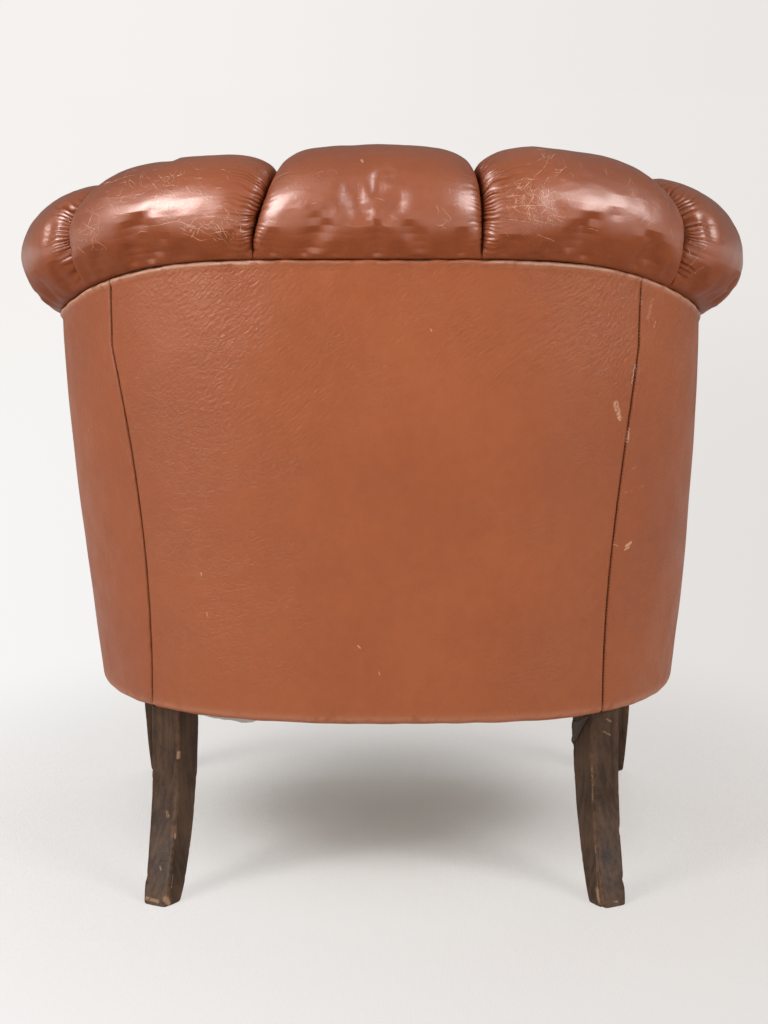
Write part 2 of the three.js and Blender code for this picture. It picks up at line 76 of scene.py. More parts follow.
# Smooth random values from about -1 to 1 over points of any shape (..., 3)
def noise(points, seed, octaves=1):
    points = np.asarray(points, float)
    total, weight, size = 0, 1, 0
    for octave in range(octaves):
        p = points * 2 ** octave
        cell = np.floor(p).astype(np.int64)
        gone = p - cell
        f = gone ** 3 * (gone * (gone * 6 - 15) + 10)
        value = 0
        for dx in (0, 1):
            for dy in (0, 1):
                for dz in (0, 1):
                    n = hashed(cell[..., 0] + dx, cell[..., 1] + dy, cell[..., 2] + dz, seed + octave)
                    slope = ((n & 1023) / 511.5 - 1) * (gone[..., 0] - dx) + (((n >> 10) & 1023) / 511.5
                        - 1) * (gone[..., 1] - dy) + (((n >> 20) & 1023) / 511.5 - 1) * (gone[..., 2] - dz)
                    value = value + slope * np.abs(1 - dx - f[..., 0]) * np.abs(1 - dy - f[..., 1]) * np.abs(1
                        - dz - f[..., 2])
        total, size = total + value * weight, size + weight
        weight *= 0.5
    return np.clip(total / size * 2.0, -1, 1)


def noise2(u, v, seed, octaves=1):
    u, v = np.broadcast_arrays(np.asarray(u, float), np.asarray(v, float))
    return noise(np.stack([u, v, np.full_like(u, 0.37)], -1), seed, octaves)


# the wall's shape, as in the CAD
wall = {
    "bottomHeight": 0.202, "flareHeight": 0.600, "flarePower": 1.4,
    "halfWidthTop": 0.3543, "halfWidthBottom": 0.3225,
    "backDepthTop": 0.3226, "backDepthBottom": 0.308,
    "planPower": 2.545, "backLean": 0.0374, "frontY": -0.640,
    "tackHeightBack": 0.698, "tackHeightArm": 0.561, "tackFallDepth": 0.202, "tackFallPower": 1.63,
    "backLegAt": 0.535, "leanLowLeft": -0.002, "leanLowRight": -0.007, "leanHigh": 0.0022,
}
# The covers sit a little to one side: the places of the seams on the sitter's left and right
seams = {
    1: {"centre": 0.241, "lean": 0.016, "arm": 0.624, "panelBottom": 0.556, "panelTop": 0.556, "bow": 0.041,
        "bowTurn": 0.0},
    -1: {"centre": 0.208, "lean": 0.0, "arm": 0.617, "panelBottom": 0.505, "panelTop": 0.538, "bow": 0.030,
        "bowTurn": 0.4},
}
layers = {
    "leather": 0.003, "frame": 0.026, "lining": 0.0015, "slip": 0.00095, "gap": 0.0003,
    "seatPad": 0.062, "topRailAboveTack": 0.020, "hemWidth": 0.015,
    "cushionClearance": 0.010,
}
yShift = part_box("outside_back")[1].y  # the wall's own y is 0 at the back
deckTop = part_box("seat_deck")[1].z
cushionBottom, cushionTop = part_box("seat_cushion")[0].z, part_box("seat_cushion")[1].z
frameOuter = -layers["leather"] - layers["slip"]
padOuter = frameOuter - layers["frame"] - layers["slip"] - layers["lining"] - layers["slip"]
seatPadFace = padOuter - layers["seatPad"]


def drawnIn(z):
    return (1 - np.clip((z - wall["bottomHeight"]) / (wall["flareHeight"] - wall["bottomHeight"]), 0,
        1)) ** wall["flarePower"]


def wallPoint(place, z):
    place, z = np.broadcast_arrays(np.asarray(place, float), np.asarray(z, float))
    k = drawnIn(z)
    a = mix(wall["halfWidthTop"], wall["halfWidthBottom"], k)
    b = mix(wall["backDepthTop"], wall["backDepthBottom"], k)
    angle = np.clip(place, -1, 1) * np.pi / 2
    s, c = np.sin(angle), np.maximum(np.cos(angle), 0)
    n = wall["planPower"]
    r = (np.abs(s / a) ** n + (c / b) ** n) ** (-1 / n)
    y = -wall["backLean"] * k - b + r * c
    return r * s, mix(y, wall["frontY"], np.maximum(np.abs(place) - 1, 0))


def wallNormal(place):
    step = 0.001
    ax, ay = wallPoint(np.asarray(place) - step, wall["flareHeight"])
    bx, by = wallPoint(np.asarray(place) + step, wall["flareHeight"])
    length = np.hypot(bx - ax, by - ay)
    return -(by - ay) / length, (bx - ax) / length


# A point at a place along the wall, a distance out from it, and a height
def at(place, out, z):
    place, out, z = np.broadcast_arrays(np.asarray(place, float), np.asarray(out, float), np.asarray(z, float))
    tx, ty = wallPoint(place, wall["flareHeight"])
    nx, ny = wallNormal(place)
    px, py = wallPoint(place, z)
    lean = (px - tx) * nx + (py - ty) * ny + out
    leanLow = mix(wall["leanLowRight"], wall["leanLowLeft"], smooth((tx + 0.3) / 0.6))
    aside = mix(leanLow, wall["leanHigh"], smooth((z - wall["bottomHeight"]) / 0.5))
    return np.stack([tx + nx * lean + aside, ty + ny * lean + yShift, z], -1)


def tackHeight(place):
    depth = np.maximum(-wallPoint(place, wall["flareHeight"])[1], 0)
    fall = 1 + (depth / wall["tackFallDepth"]) ** wall["tackFallPower"]
    return wall["tackHeightArm"] + (wall["tackHeightBack"] - wall["tackHeightArm"]) / fall


# Distance along the wall from its middle, for a table of places
placeTable = np.linspace(0, 2, 801)
tableX, tableY = wallPoint(placeTable, wall["flareHeight"])
lengthTable = np.concatenate([[0], np.cumsum(np.hypot(np.diff(tableX), np.diff(tableY)))])


def distanceOf(place):
    return np.sign(place) * np.interp(np.abs(place), placeTable, lengthTable)


def placeOf(distance):
    return np.sign(distance) * np.interp(np.abs(distance), lengthTable, placeTable)


# Distances from one end to the other, close together near the ends
def spread(length, step, near):
    near = np.array(near)
    middle = np.linspace(near[-1], length - near[-1], max(int((length - 2 * near[-1]) / step), 2) + 1)[1:-1]
    return np.concatenate([near, middle, length - near[::-1]])


nearEdge = np.array([0, 0.5, 1, 1.6, 2.3, 3.1, 4, 5.2, 6.6, 8.2, 10, 12, 14.5, 17, 20, 23.5, 27, 31, 35]) * mm
nearFront = np.array([0, 1, 2.5, 4.5, 7.5, 11]) * mm


# mesh helpers
def newMesh(name, points, faces):
    mesh = bpy.data.meshes.new(name)
    mesh.from_pydata([tuple(p) for p in np.asarray(points).reshape(-1, 3)], [], faces)
    mesh.update()
    obj = bpy.data.objects.new(name, mesh)
    scene.collection.objects.link(obj)
    return obj


# Faces between rings of equal count, each ring closed on itself
def ringFaces(ringCount, count):
    faces = []
    for i in range(ringCount - 1):
        for j in range(count):
            k = (j + 1) % count
            faces.append((i * count + j, (i + 1) * count + j, (i + 1) * count + k, i * count + k))
    return faces


# A closed solid from rings of equal count: points (rings, count, 3)
def loftMesh(name, points):
    nu, nv = points.shape[:2]
    faces = ringFaces(nu, nv)
    for ring, turned in ((0, False), (nu - 1, True)):
        for triangle in tessellate_polygon([[Vector(p) for p in points[ring]]]):
            corners = [ring * nv + t for t in triangle]
            faces.append(tuple(corners[::-1] if turned else corners))
    obj = newMesh(name, points, faces)
    pointOut(obj)
    return obj


# Turns a closed shell's faces outwards
def pointOut(obj):
    work = bmesh.new()
    work.from_mesh(obj.data)
    bmesh.ops.recalc_face_normals(work, faces=work.faces)
    if work.calc_volume(signed=True) < 0:
        bmesh.ops.reverse_faces(work, faces=work.faces)
    work.to_mesh(obj.data)
    work.free()


def shadeSmooth(obj, angle=50):
    obj.data.polygons.foreach_set("use_smooth", [True] * len(obj.data.polygons))
    obj.data.set_sharp_from_angle(angle=math.radians(angle))


def setAttribute(obj, name, values):
    attribute = obj.data.attributes.new(name, "FLOAT", "POINT")
    attribute.data.foreach_set("value", np.asarray(values, float).ravel())


# The same wear all over a piece: no creases, and how rubbed it is
def evenWear(obj, rub=0.0):
    for name, value in (("crease", 0.0), ("rub", rub)):
        setAttribute(obj, name, np.full(len(obj.data.vertices), value))


# Unit normals of a grid of points, pointing away from the ring's inside
def gridNormals(points):
    du = np.gradient(points, axis=0)
    wrapped = np.concatenate([points[:, -1:], points, points[:, :1]], 1)
    dv = (wrapped[:, 2:] - wrapped[:, :-2]) / 2
    normal = np.cross(du, dv)
    normal /= np.maximum(np.linalg.norm(normal, axis=-1, keepdims=True), 1e-12)
    middle = points.mean(axis=1, keepdims=True)
    if np.sum(normal * (points - middle)) < 0:
        normal = -normal
    return normal


# A round tube along points (n, 3); a closed one joins its ends
def tubePoints(path, radius, sideCount, closed):
    path = np.asarray(path, float)
    count = len(path)
    if closed:
        tangent = np.roll(path, -1, 0) - np.roll(path, 1, 0)
    else:
        tangent = np.gradient(path, axis=0)
    tangent /= np.linalg.norm(tangent, axis=1, keepdims=True)
    helper = np.array([0.0, 0.0, 1.0]) if abs(tangent[0][2]) < 0.9 else np.array([1.0, 0, 0])
    normal = np.cross(tangent[0], helper)
    angles = np.arange(sideCount) * 2 * np.pi / sideCount
    rings, frames = [], []
    for i in range(count):
        normal = normal - tangent[i] * np.dot(normal, tangent[i])
        normal /= np.linalg.norm(normal)
        frames.append(normal.copy())
    for i in range(count):
        other = np.cross(tangent[i], frames[i])
        r = radius[i] if np.ndim(radius) else radius
        rings.append(path[i] + r * (np.cos(angles)[:, None] * frames[i] + np.sin(angles)[:, None] * other))
    return np.array(rings)


def tube(name, path, radius, sideCount=8, closed=False):
    rings = tubePoints(path, radius, sideCount, closed)
    if not closed:
        obj = loftMesh(name, rings)
    else:
        count = len(rings)
        faces = ringFaces(count, sideCount)
        for j in range(sideCount):
            k = (j + 1) % sideCount
            faces.append(((count - 1) * sideCount + j, j, k, (count - 1) * sideCount + k))
        obj = newMesh(name, rings, faces)
        pointOut(obj)
    shadeSmooth(obj, 60)
    return obj


def densePath(points, step):
    points = np.asarray(points, float)
    length = np.concatenate([[0], np.cumsum(np.linalg.norm(np.diff(points, axis=0), axis=1))])
    wanted = np.linspace(0, length[-1], max(int(length[-1] / step), 2) + 1)
    return np.stack([np.interp(wanted, length, points[:, n]) for n in range(points.shape[1])], 1)


def evaluated(obj):
    return obj.evaluated_get(bpy.context.evaluated_depsgraph_get())


# Replaces an object's mesh by what its modifiers make of it
def applyModifiers(obj):
    mesh = bpy.data.meshes.new_from_object(evaluated(obj))
    obj.modifiers.clear()
    obj.data = mesh


def vertexPoints(mesh):
    points = np.empty(len(mesh.vertices) * 3)
    mesh.vertices.foreach_get("co", points)
    return points.reshape(-1, 3)


def joined(name, objects):
    with bpy.context.temp_override(active_object=objects[0], object=objects[0], selected_objects=objects,
            selected_editable_objects=objects):
        bpy.ops.object.join()
    objects[0].name = name
    return objects[0]


# camera, from the photograph's outlines
cameraChoices = {"place": (-0.0482, 3.1966, 0.9457), "yaw": -0.0148, "tilt": 0.1744, "roll": -0.0021,
    "lens": 99.92}


def makeCamera(c):
    forward = Vector((-math.sin(c["yaw"]) * math.cos(c["tilt"]), -math.cos(c["yaw"]) * math.cos(c["tilt"]),
        -math.sin(c["tilt"])))
    right = forward.cross(Vector((0, 0, 1))).normalized()
    up = right.cross(forward)
    turnedRight = math.cos(c["roll"]) * right + math.sin(c["roll"]) * up
    turnedUp = -math.sin(c["roll"]) * right + math.cos(c["roll"]) * up
    data = bpy.data.cameras.new("camera")
    data.lens, data.sensor_width = c["lens"], 36
    camera = bpy.data.objects.new("camera", data)
    camera.matrix_world = Matrix.Translation(c["place"]) @ Matrix((turnedRight, turnedUp,
        -forward)).transposed().to_4x4()
    scene.collection.objects.link(camera)
    scene.camera = camera
    return Vector(c["place"]), forward, turnedRight, turnedUp


cameraPlace, forward, cameraRight, cameraUp = makeCamera(cameraChoices)
photoWidth, photoHeight = 768, 1024
focalPixels = cameraChoices["lens"] / 36 * photoHeight


# The direction from the camera through a point of the photograph
def sightLine(px, py):
    across, down = (px - photoWidth / 2) / focalPixels, (py - photoHeight / 2) / focalPixels
    return (forward + cameraRight * across - cameraUp * down).normalized()


print("camera made")


# shader helpers: an input is either another node's socket or a value
def setInputs(tree, made, inputs):
    for key, value in inputs.items():
        if isinstance(value, bpy.types.NodeSocket):
            tree.links.new(value, made.inputs[key])
        else:
            made.inputs[key].default_value = value
    return made


def addNode(tree, kind, inputs, **settings):
    made = tree.nodes.new(kind)
    for key, value in settings.items():
        setattr(made, key, value)
    return setInputs(tree, made, inputs)


def calc(tree, operation, a, b=0.0, c=0.0, clamp=False):
    return addNode(tree, "ShaderNodeMath", {0: a, 1: b, 2: c}, operation=operation, use_clamp=clamp).outputs[0]


def ramp(tree, value, low, high, outLow=0.0, outHigh=1.0):
    made = addNode(tree, "ShaderNodeMapRange",
        {"Value": value, "From Min": low, "From Max": high, "To Min": outLow, "To Max": outHigh},
        interpolation_type="SMOOTHSTEP")
    return made.outputs["Result"]


def vectorMath(tree, operation, inputs, output=0):
    return addNode(tree, "ShaderNodeVectorMath", inputs, operation=operation).outputs[output]


def blendColor(tree, factor, a, b):
    return addNode(tree, "ShaderNodeMix", {0: factor, 6: a, 7: b}, data_type="RGBA").outputs[2]


def noiseNode(tree, vector, scale, detail=3.0, roughness=0.5):
    inputs = {"Vector": vector, "Scale": scale, "Detail": detail, "Roughness": roughness}
    return addNode(tree, "ShaderNodeTexNoise", inputs).outputs["Fac"]


def scaled(tree, vector, scale):
    return addNode(tree, "ShaderNodeMapping", {"Vector": vector, "Scale": scale}).outputs[0]


# A vector pushed about by noise, so that straight patterns wander
def warped(tree, vector, scale, amount):
    pushed = addNode(tree, "ShaderNodeTexNoise", {"Vector": vector, "Scale": scale, "Detail": 2.0})
    centred = vectorMath(tree, "SUBTRACT", {0: pushed.outputs["Color"], 1: (0.5, 0.5, 0.5)})
    return vectorMath(tree, "ADD", {0: vector, 1: vectorMath(tree, "SCALE", {0: centred, "Scale": amount})})


def newGroup(name, inputs, outputs):
    group = bpy.data.node_groups.new(name, "ShaderNodeTree")
    for socketName, kind, value in inputs:
        socket = group.interface.new_socket(socketName, in_out="INPUT", socket_type=kind)
        if value is not None:
            socket.default_value = value
    for socketName, kind in outputs:
        group.interface.new_socket(socketName, in_out="OUTPUT", socket_type=kind)
    return group, group.nodes.new("NodeGroupInput").outputs, group.nodes.new("NodeGroupOutput")


def useGroup(tree, group, inputs):
    return addNode(tree, "ShaderNodeGroup", inputs, node_tree=group).outputs


def newMaterial(name):
    material = bpy.data.materials.new(name)
    material.use_nodes = True
    tree = material.node_tree
    shader = tree.nodes["Principled BSDF"]
    place = tree.nodes.new("ShaderNodeTexCoord").outputs["Object"]
    return material, tree, shader, place


def attributeValue(tree, name):
    return addNode(tree, "ShaderNodeAttribute", {}, attribute_name=name,
        attribute_type="GEOMETRY").outputs["Fac"]


def bump(tree, shader, height, distance, strength=1.0):
    made = addNode(tree, "ShaderNodeBump", {"Height": height, "Distance": distance, "Strength": strength})
    tree.links.new(made.outputs[0], shader.inputs["Normal"])


# shader groups
vectorKind, floatKind = "NodeSocketVector", "NodeSocketFloat"


# Hide grain: small pebbles, with wrinkles over them that come and go in patches
def makeGrainGroup():
    group, get, out = newGroup("hideGrain",
        [("Place", vectorKind, None), ("Pebble Scale", floatKind, 700.0), ("Wrinkle Scale", floatKind, 150.0),
            ("Wrinkles", floatKind, 1.0)], [("Height", floatKind), ("Hollows", floatKind)])
    pebble = addNode(group, "ShaderNodeTexVoronoi",
        {"Vector": warped(group, get["Place"], 300.0, 0.002), "Scale": get["Pebble Scale"]},
        feature="SMOOTH_F1")
    leaning = addNode(group, "ShaderNodeMapping",
        {"Vector": warped(group, get["Place"], 30.0, 0.02), "Rotation": (0.0, math.radians(38), 0.0),
            "Scale": (0.45, 1.0, 1.0)}).outputs[0]
    wrinkle = noiseNode(group, leaning, get["Wrinkle Scale"], 4.0, 0.6)
    line = ramp(group, calc(group, "ABSOLUTE", calc(group, "SUBTRACT", wrinkle, 0.5)), 0.0, 0.06, 1.0, 0.0)
    patches = ramp(group, noiseNode(group, get["Place"], 9.0, 3.0, 0.6), 0.42, 0.62, 0.15, 1.0)
    lines = calc(group, "MULTIPLY", calc(group, "MULTIPLY", line, get["Wrinkles"]), patches)
    height = calc(group, "SUBTRACT", calc(group, "MULTIPLY", pebble.outputs["Distance"], -0.5), lines)
    group.links.new(height, out.inputs["Height"])
    group.links.new(lines, out.inputs["Hollows"])
    return group


# A soft-ended stroke between two points: a scratch, a scuff or a crease
def makeMarkGroup():
    group, get, out = newGroup("mark", [("Place", vectorKind, None), ("Start", vectorKind, None),
        ("End", vectorKind, None), ("Width", floatKind, 0.001), ("Break Up", floatKind, 0.4)],
    [("Mask", floatKind)])
    wobbly = warped(group, get["Place"], 260.0, 0.0022)
    fromStart = vectorMath(group, "SUBTRACT", {0: wobbly, 1: get["Start"]})
    along = vectorMath(group, "SUBTRACT", {0: get["End"], 1: get["Start"]})
    dot = vectorMath(group, "DOT_PRODUCT", {0: fromStart, 1: along}, "Value")
    square = vectorMath(group, "DOT_PRODUCT", {0: along, 1: along}, "Value")
    k = calc(group, "DIVIDE", dot, square, clamp=True)
    nearest = vectorMath(group, "SCALE", {0: along, "Scale": k})
    gone = vectorMath(group, "DISTANCE", {0: fromStart, 1: nearest}, "Value")
    edge = calc(group, "DIVIDE", gone, get["Width"])
    solid = ramp(group, edge, 0.45, 1.0, 1.0, 0.0)
    torn = ramp(group, calc(group, "SUBTRACT", noiseNode(group, get["Place"], 700.0, 3.0), get["Break Up"]),
        -0.06, 0.06)
    group.links.new(calc(group, "MULTIPLY", solid, torn), out.inputs["Mask"])
    return group


# Fine pale cracks, kept inside a soft ball
def makeCrackleGroup():
    group, get, out = newGroup("crackle", [("Place", vectorKind, None), ("Middle", vectorKind, None),
        ("Reach", floatKind, 0.04), ("Scale", floatKind, 90.0), ("Line", floatKind, 0.03),
        ("Cover", floatKind, 0.5)], [("Mask", floatKind)])
    gone = vectorMath(group, "DISTANCE", {0: get["Place"], 1: get["Middle"]}, "Value")
    patchy = calc(group, "ADD", calc(group, "DIVIDE", gone, get["Reach"]),
        calc(group, "MULTIPLY", noiseNode(group, get["Place"], 45.0, 2.0), 0.9))
    ball = ramp(group, patchy, 0.75, 1.35, 1.0, 0.0)
    bent = warped(group, get["Place"], 70.0, 0.016)
    cells = addNode(group, "ShaderNodeTexVoronoi", {"Vector": bent, "Scale": get["Scale"]},
        feature="DISTANCE_TO_EDGE").outputs["Distance"]
    crack = ramp(group, cells, 0.0, get["Line"], 1.0, 0.0)
    kept = ramp(group, noiseNode(group, get["Place"], 130.0, 2.0), calc(group, "SUBTRACT", 1.0, get["Cover"]),
        calc(group, "SUBTRACT", 1.12, get["Cover"]))
    group.links.new(calc(group, "MULTIPLY", calc(group, "MULTIPLY", crack, ball), kept), out.inputs["Mask"])
    return group


# Wood grain running up a piece: long streaks and pores
def makeWoodGroup():
    group, get, out = newGroup("woodGrain",
        [("Place", vectorKind, None), ("Stretch", vectorKind, (1.0, 1.0, 0.06)), ("Scale", floatKind, 220.0)],
        [("Streaks", floatKind), ("Pores", floatKind)])
    stretched = vectorMath(group, "MULTIPLY", {0: get["Place"], 1: get["Stretch"]})
    streaks = noiseNode(group, warped(group, stretched, 20.0, 0.006), get["Scale"], 5.0, 0.6)
    pores = noiseNode(group, stretched, calc(group, "MULTIPLY", get["Scale"], 7.0), 2.0, 0.5)
    group.links.new(streaks, out.inputs["Streaks"])
    group.links.new(ramp(group, pores, 0.58, 0.7), out.inputs["Pores"])
    return group


# Plain weave: threads over and under in two directions of a plane
def makeWeaveGroup():
    group, get, out = newGroup("plainWeave", [("Place", vectorKind, None), ("Threads", floatKind, 1500.0)],
        [("Height", floatKind), ("Slubs", floatKind)])
    bent = warped(group, get["Place"], 60.0, 0.0008)
    parts = addNode(group, "ShaderNodeSeparateXYZ", {0: bent}).outputs
    waves = []
    for first, second in ((parts[0], parts[1]), (parts[1], parts[0])):
        thread = calc(group, "ABSOLUTE", calc(group, "SINE", calc(group, "MULTIPLY", first, get["Threads"])))
        over = calc(group, "SINE", calc(group, "MULTIPLY", second, get["Threads"]))
        waves.append(calc(group, "MULTIPLY", thread, calc(group, "MULTIPLY_ADD", over, 0.5, 0.5)))
    height = calc(group, "MAXIMUM", waves[0], waves[1])
    group.links.new(height, out.inputs["Height"])
    slubs = calc(group, "MAXIMUM", noiseNode(group, scaled(group, get["Place"], (1, 14, 1)), 40.0, 3.0),
        noiseNode(group, scaled(group, get["Place"], (14, 1, 1)), 40.0, 3.0))
    group.links.new(slubs, out.inputs["Slubs"])
    return group


grainGroup, markGroup, crackleGroup = makeGrainGroup(), makeMarkGroup(), makeCrackleGroup()
woodGroup, weaveGroup = makeWoodGroup(), makeWeaveGroup()
print("shader groups made")

# leather
leatherChoices = {
    "panel": {"light": (0.385, 0.104, 0.033, 1), "dark": (0.320, 0.080, 0.025, 1), "roughness": (0.42, 0.54),
        "wrinkles": 0.35, "pebble": 340.0, "wrinkle": 140.0, "coat": 0.0, "specular": 0.34, "bump": 0.0007},
    "roll": {"light": (0.372, 0.093, 0.030, 1), "dark": (0.295, 0.069, 0.022, 1), "roughness": (0.36, 0.46),
        "wrinkles": 0.3, "pebble": 420.0, "wrinkle": 210.0, "coat": 0.85, "specular": 0.5, "bump": 0.0005},
    "cracked": {"light": (0.82, 0.54, 0.38, 1), "dark": (0.60, 0.30, 0.18, 1), "roughness": (0.5, 0.6),
        "wrinkles": 0.2, "pebble": 620.0, "wrinkle": 210.0, "coat": 0.0, "specular": 0.4, "bump": 0.0002},
    # deep: the grain's hollows and the painted shade; worn: rubbed leather and the painted highlight on the
    # panels' top lip
    "deep": (0.056, 0.021, 0.014, 1), "pale": (0.70, 0.40, 0.25, 1), "worn": (0.62, 0.32, 0.21, 1),
}


# Where a surface is pale: marks are (start, end, width, break up, strength),
# cracks (middle, reach, scale, line, cover, strength); None if it has neither
def paleMask(tree, place, marks, cracks=()):
    masks = []
    for *values, strength in marks:
        inputs = dict(zip(("Start", "End", "Width", "Break Up"), values))
        masks.append(calc(tree, "MULTIPLY", useGroup(tree, markGroup, {"Place": place, **inputs})["Mask"],
            strength))
    for *values, strength in cracks:
        inputs = dict(zip(("Middle", "Reach", "Scale", "Line", "Cover"), values))
        masks.append(calc(tree, "MULTIPLY", useGroup(tree, crackleGroup, {"Place": place, **inputs})["Mask"],
            strength))
    pale = masks[0] if masks else None
    for mask in masks[1:]:
        pale = calc(tree, "MAXIMUM", pale, mask)
    return pale


def leatherMaterial(name, kind, marks=(), cracks=()):
    choice = leatherChoices[kind]
    material, tree, shader, place = newMaterial(name)
    large = noiseNode(tree, place, 5.0, 3.0, 0.5)
    small = noiseNode(tree, place, 70.0, 4.0, 0.6)
    tone = ramp(tree, calc(tree, "MULTIPLY_ADD", small, 0.3, calc(tree, "MULTIPLY", large, 0.7)), 0.30, 0.72)
    color = blendColor(tree, tone, choice["dark"], choice["light"])
    grain = useGroup(tree, grainGroup, {"Place": place, "Pebble Scale": choice["pebble"],
        "Wrinkle Scale": choice["wrinkle"], "Wrinkles": choice["wrinkles"]})
    color = blendColor(tree, calc(tree, "MULTIPLY", grain["Hollows"], 0.10), color, leatherChoices["deep"])
    # This attribute lightens towards the worn colour: rubbed edges and crests, and the painted highlight on the
    # panels' top lip
    color = blendColor(tree, calc(tree, "MULTIPLY", attributeValue(tree, "rub"), ramp(tree, small, 0.28, 0.52),
        clamp=True), color, leatherChoices["worn"])
    # The crease attribute paints shade: in the gathers and at seams, along the panels' top edge under the rolls
    # and on the rolls' undersides
    color = blendColor(tree, attributeValue(tree, "crease"), color, leatherChoices["deep"])
    pale = paleMask(tree, place, marks, cracks)
    roughness = ramp(tree, noiseNode(tree, place, 30.0, 4.0, 0.6), 0.3, 0.7, choice["roughness"][0],
        choice["roughness"][1])
    height = grain["Height"]
    if kind == "panel":
        slanted = addNode(tree, "ShaderNodeVectorRotate", {"Vector": place, "Angle": math.radians(-42)},
            rotation_type="Y_AXIS").outputs[0]
        drawn = vectorMath(tree, "MULTIPLY", {0: slanted, 1: (0.28, 1.0, 1.0)})
        upright = addNode(tree, "ShaderNodeSeparateXYZ", {0: place}).outputs[2]
        strained = calc(tree, "MULTIPLY", ramp(tree, upright, 0.42, 0.64, 0.45, 1.5),
            ramp(tree, noiseNode(tree, place, 7.0, 2.0), 0.38, 0.62, 0.5, 1.6))
        folds = calc(tree, "MULTIPLY", noiseNode(tree, drawn, 300.0, 2.0, 0.5), strained)
        height = calc(tree, "ADD", height, folds)
    if pale is not None:
        color = blendColor(tree, pale, color, leatherChoices["pale"])
        roughness = calc(tree, "MULTIPLY_ADD", pale, 0.3, roughness)
    tree.links.new(color, shader.inputs["Base Color"])
    tree.links.new(roughness, shader.inputs["Roughness"])
    shader.inputs["IOR"].default_value = 1.5
    # Reflections are turned down where that painted shade lies
    glossOutsideShade = ramp(tree, attributeValue(tree, "crease"), 0.0, 0.24, 1.0, 0.08)
    tree.links.new(calc(tree, "MULTIPLY", glossOutsideShade, choice["specular"]), shader.inputs["Specular IOR Level"])
    if choice["coat"]:
        tree.links.new(calc(tree, "MULTIPLY", glossOutsideShade, choice["coat"]), shader.inputs["Coat Weight"])
    shader.inputs["Coat Roughness"].default_value = 0.34
    shader.inputs["Coat IOR"].default_value = 1.7
    bump(tree, shader, height, choice["bump"], 0.9)
    return material


# outside panels
panelChoices = {"hemDrop": 0.0038, "step": 0.004, "rowStep": 0.004, "hemRound": 0.007, "edgeBead": 0.0030,
    "grooveDepth": 0.0018, "grooveWidth": 0.0016, "pucker": 0.0006, "unevenness": 0.0008}


# The seams' places are compared at this height; one unit of place is about this long at a seam
seamMiddle, metresPerPlace = 0.45, 0.5


def panelSeamAt(z, side):
    k = np.clip((z - wall["bottomHeight"]) / (wall["flareHeight"] - wall["bottomHeight"]), 0, 1.2)
    c, left = seams[side], np.clip(1 - k, 0, 1)
    bowShare = mix(4 * k * left, 6.75 * k * left ** 2, c["bowTurn"])
    return mix(c["panelBottom"], c["panelTop"], k) - c["bow"] * bowShare


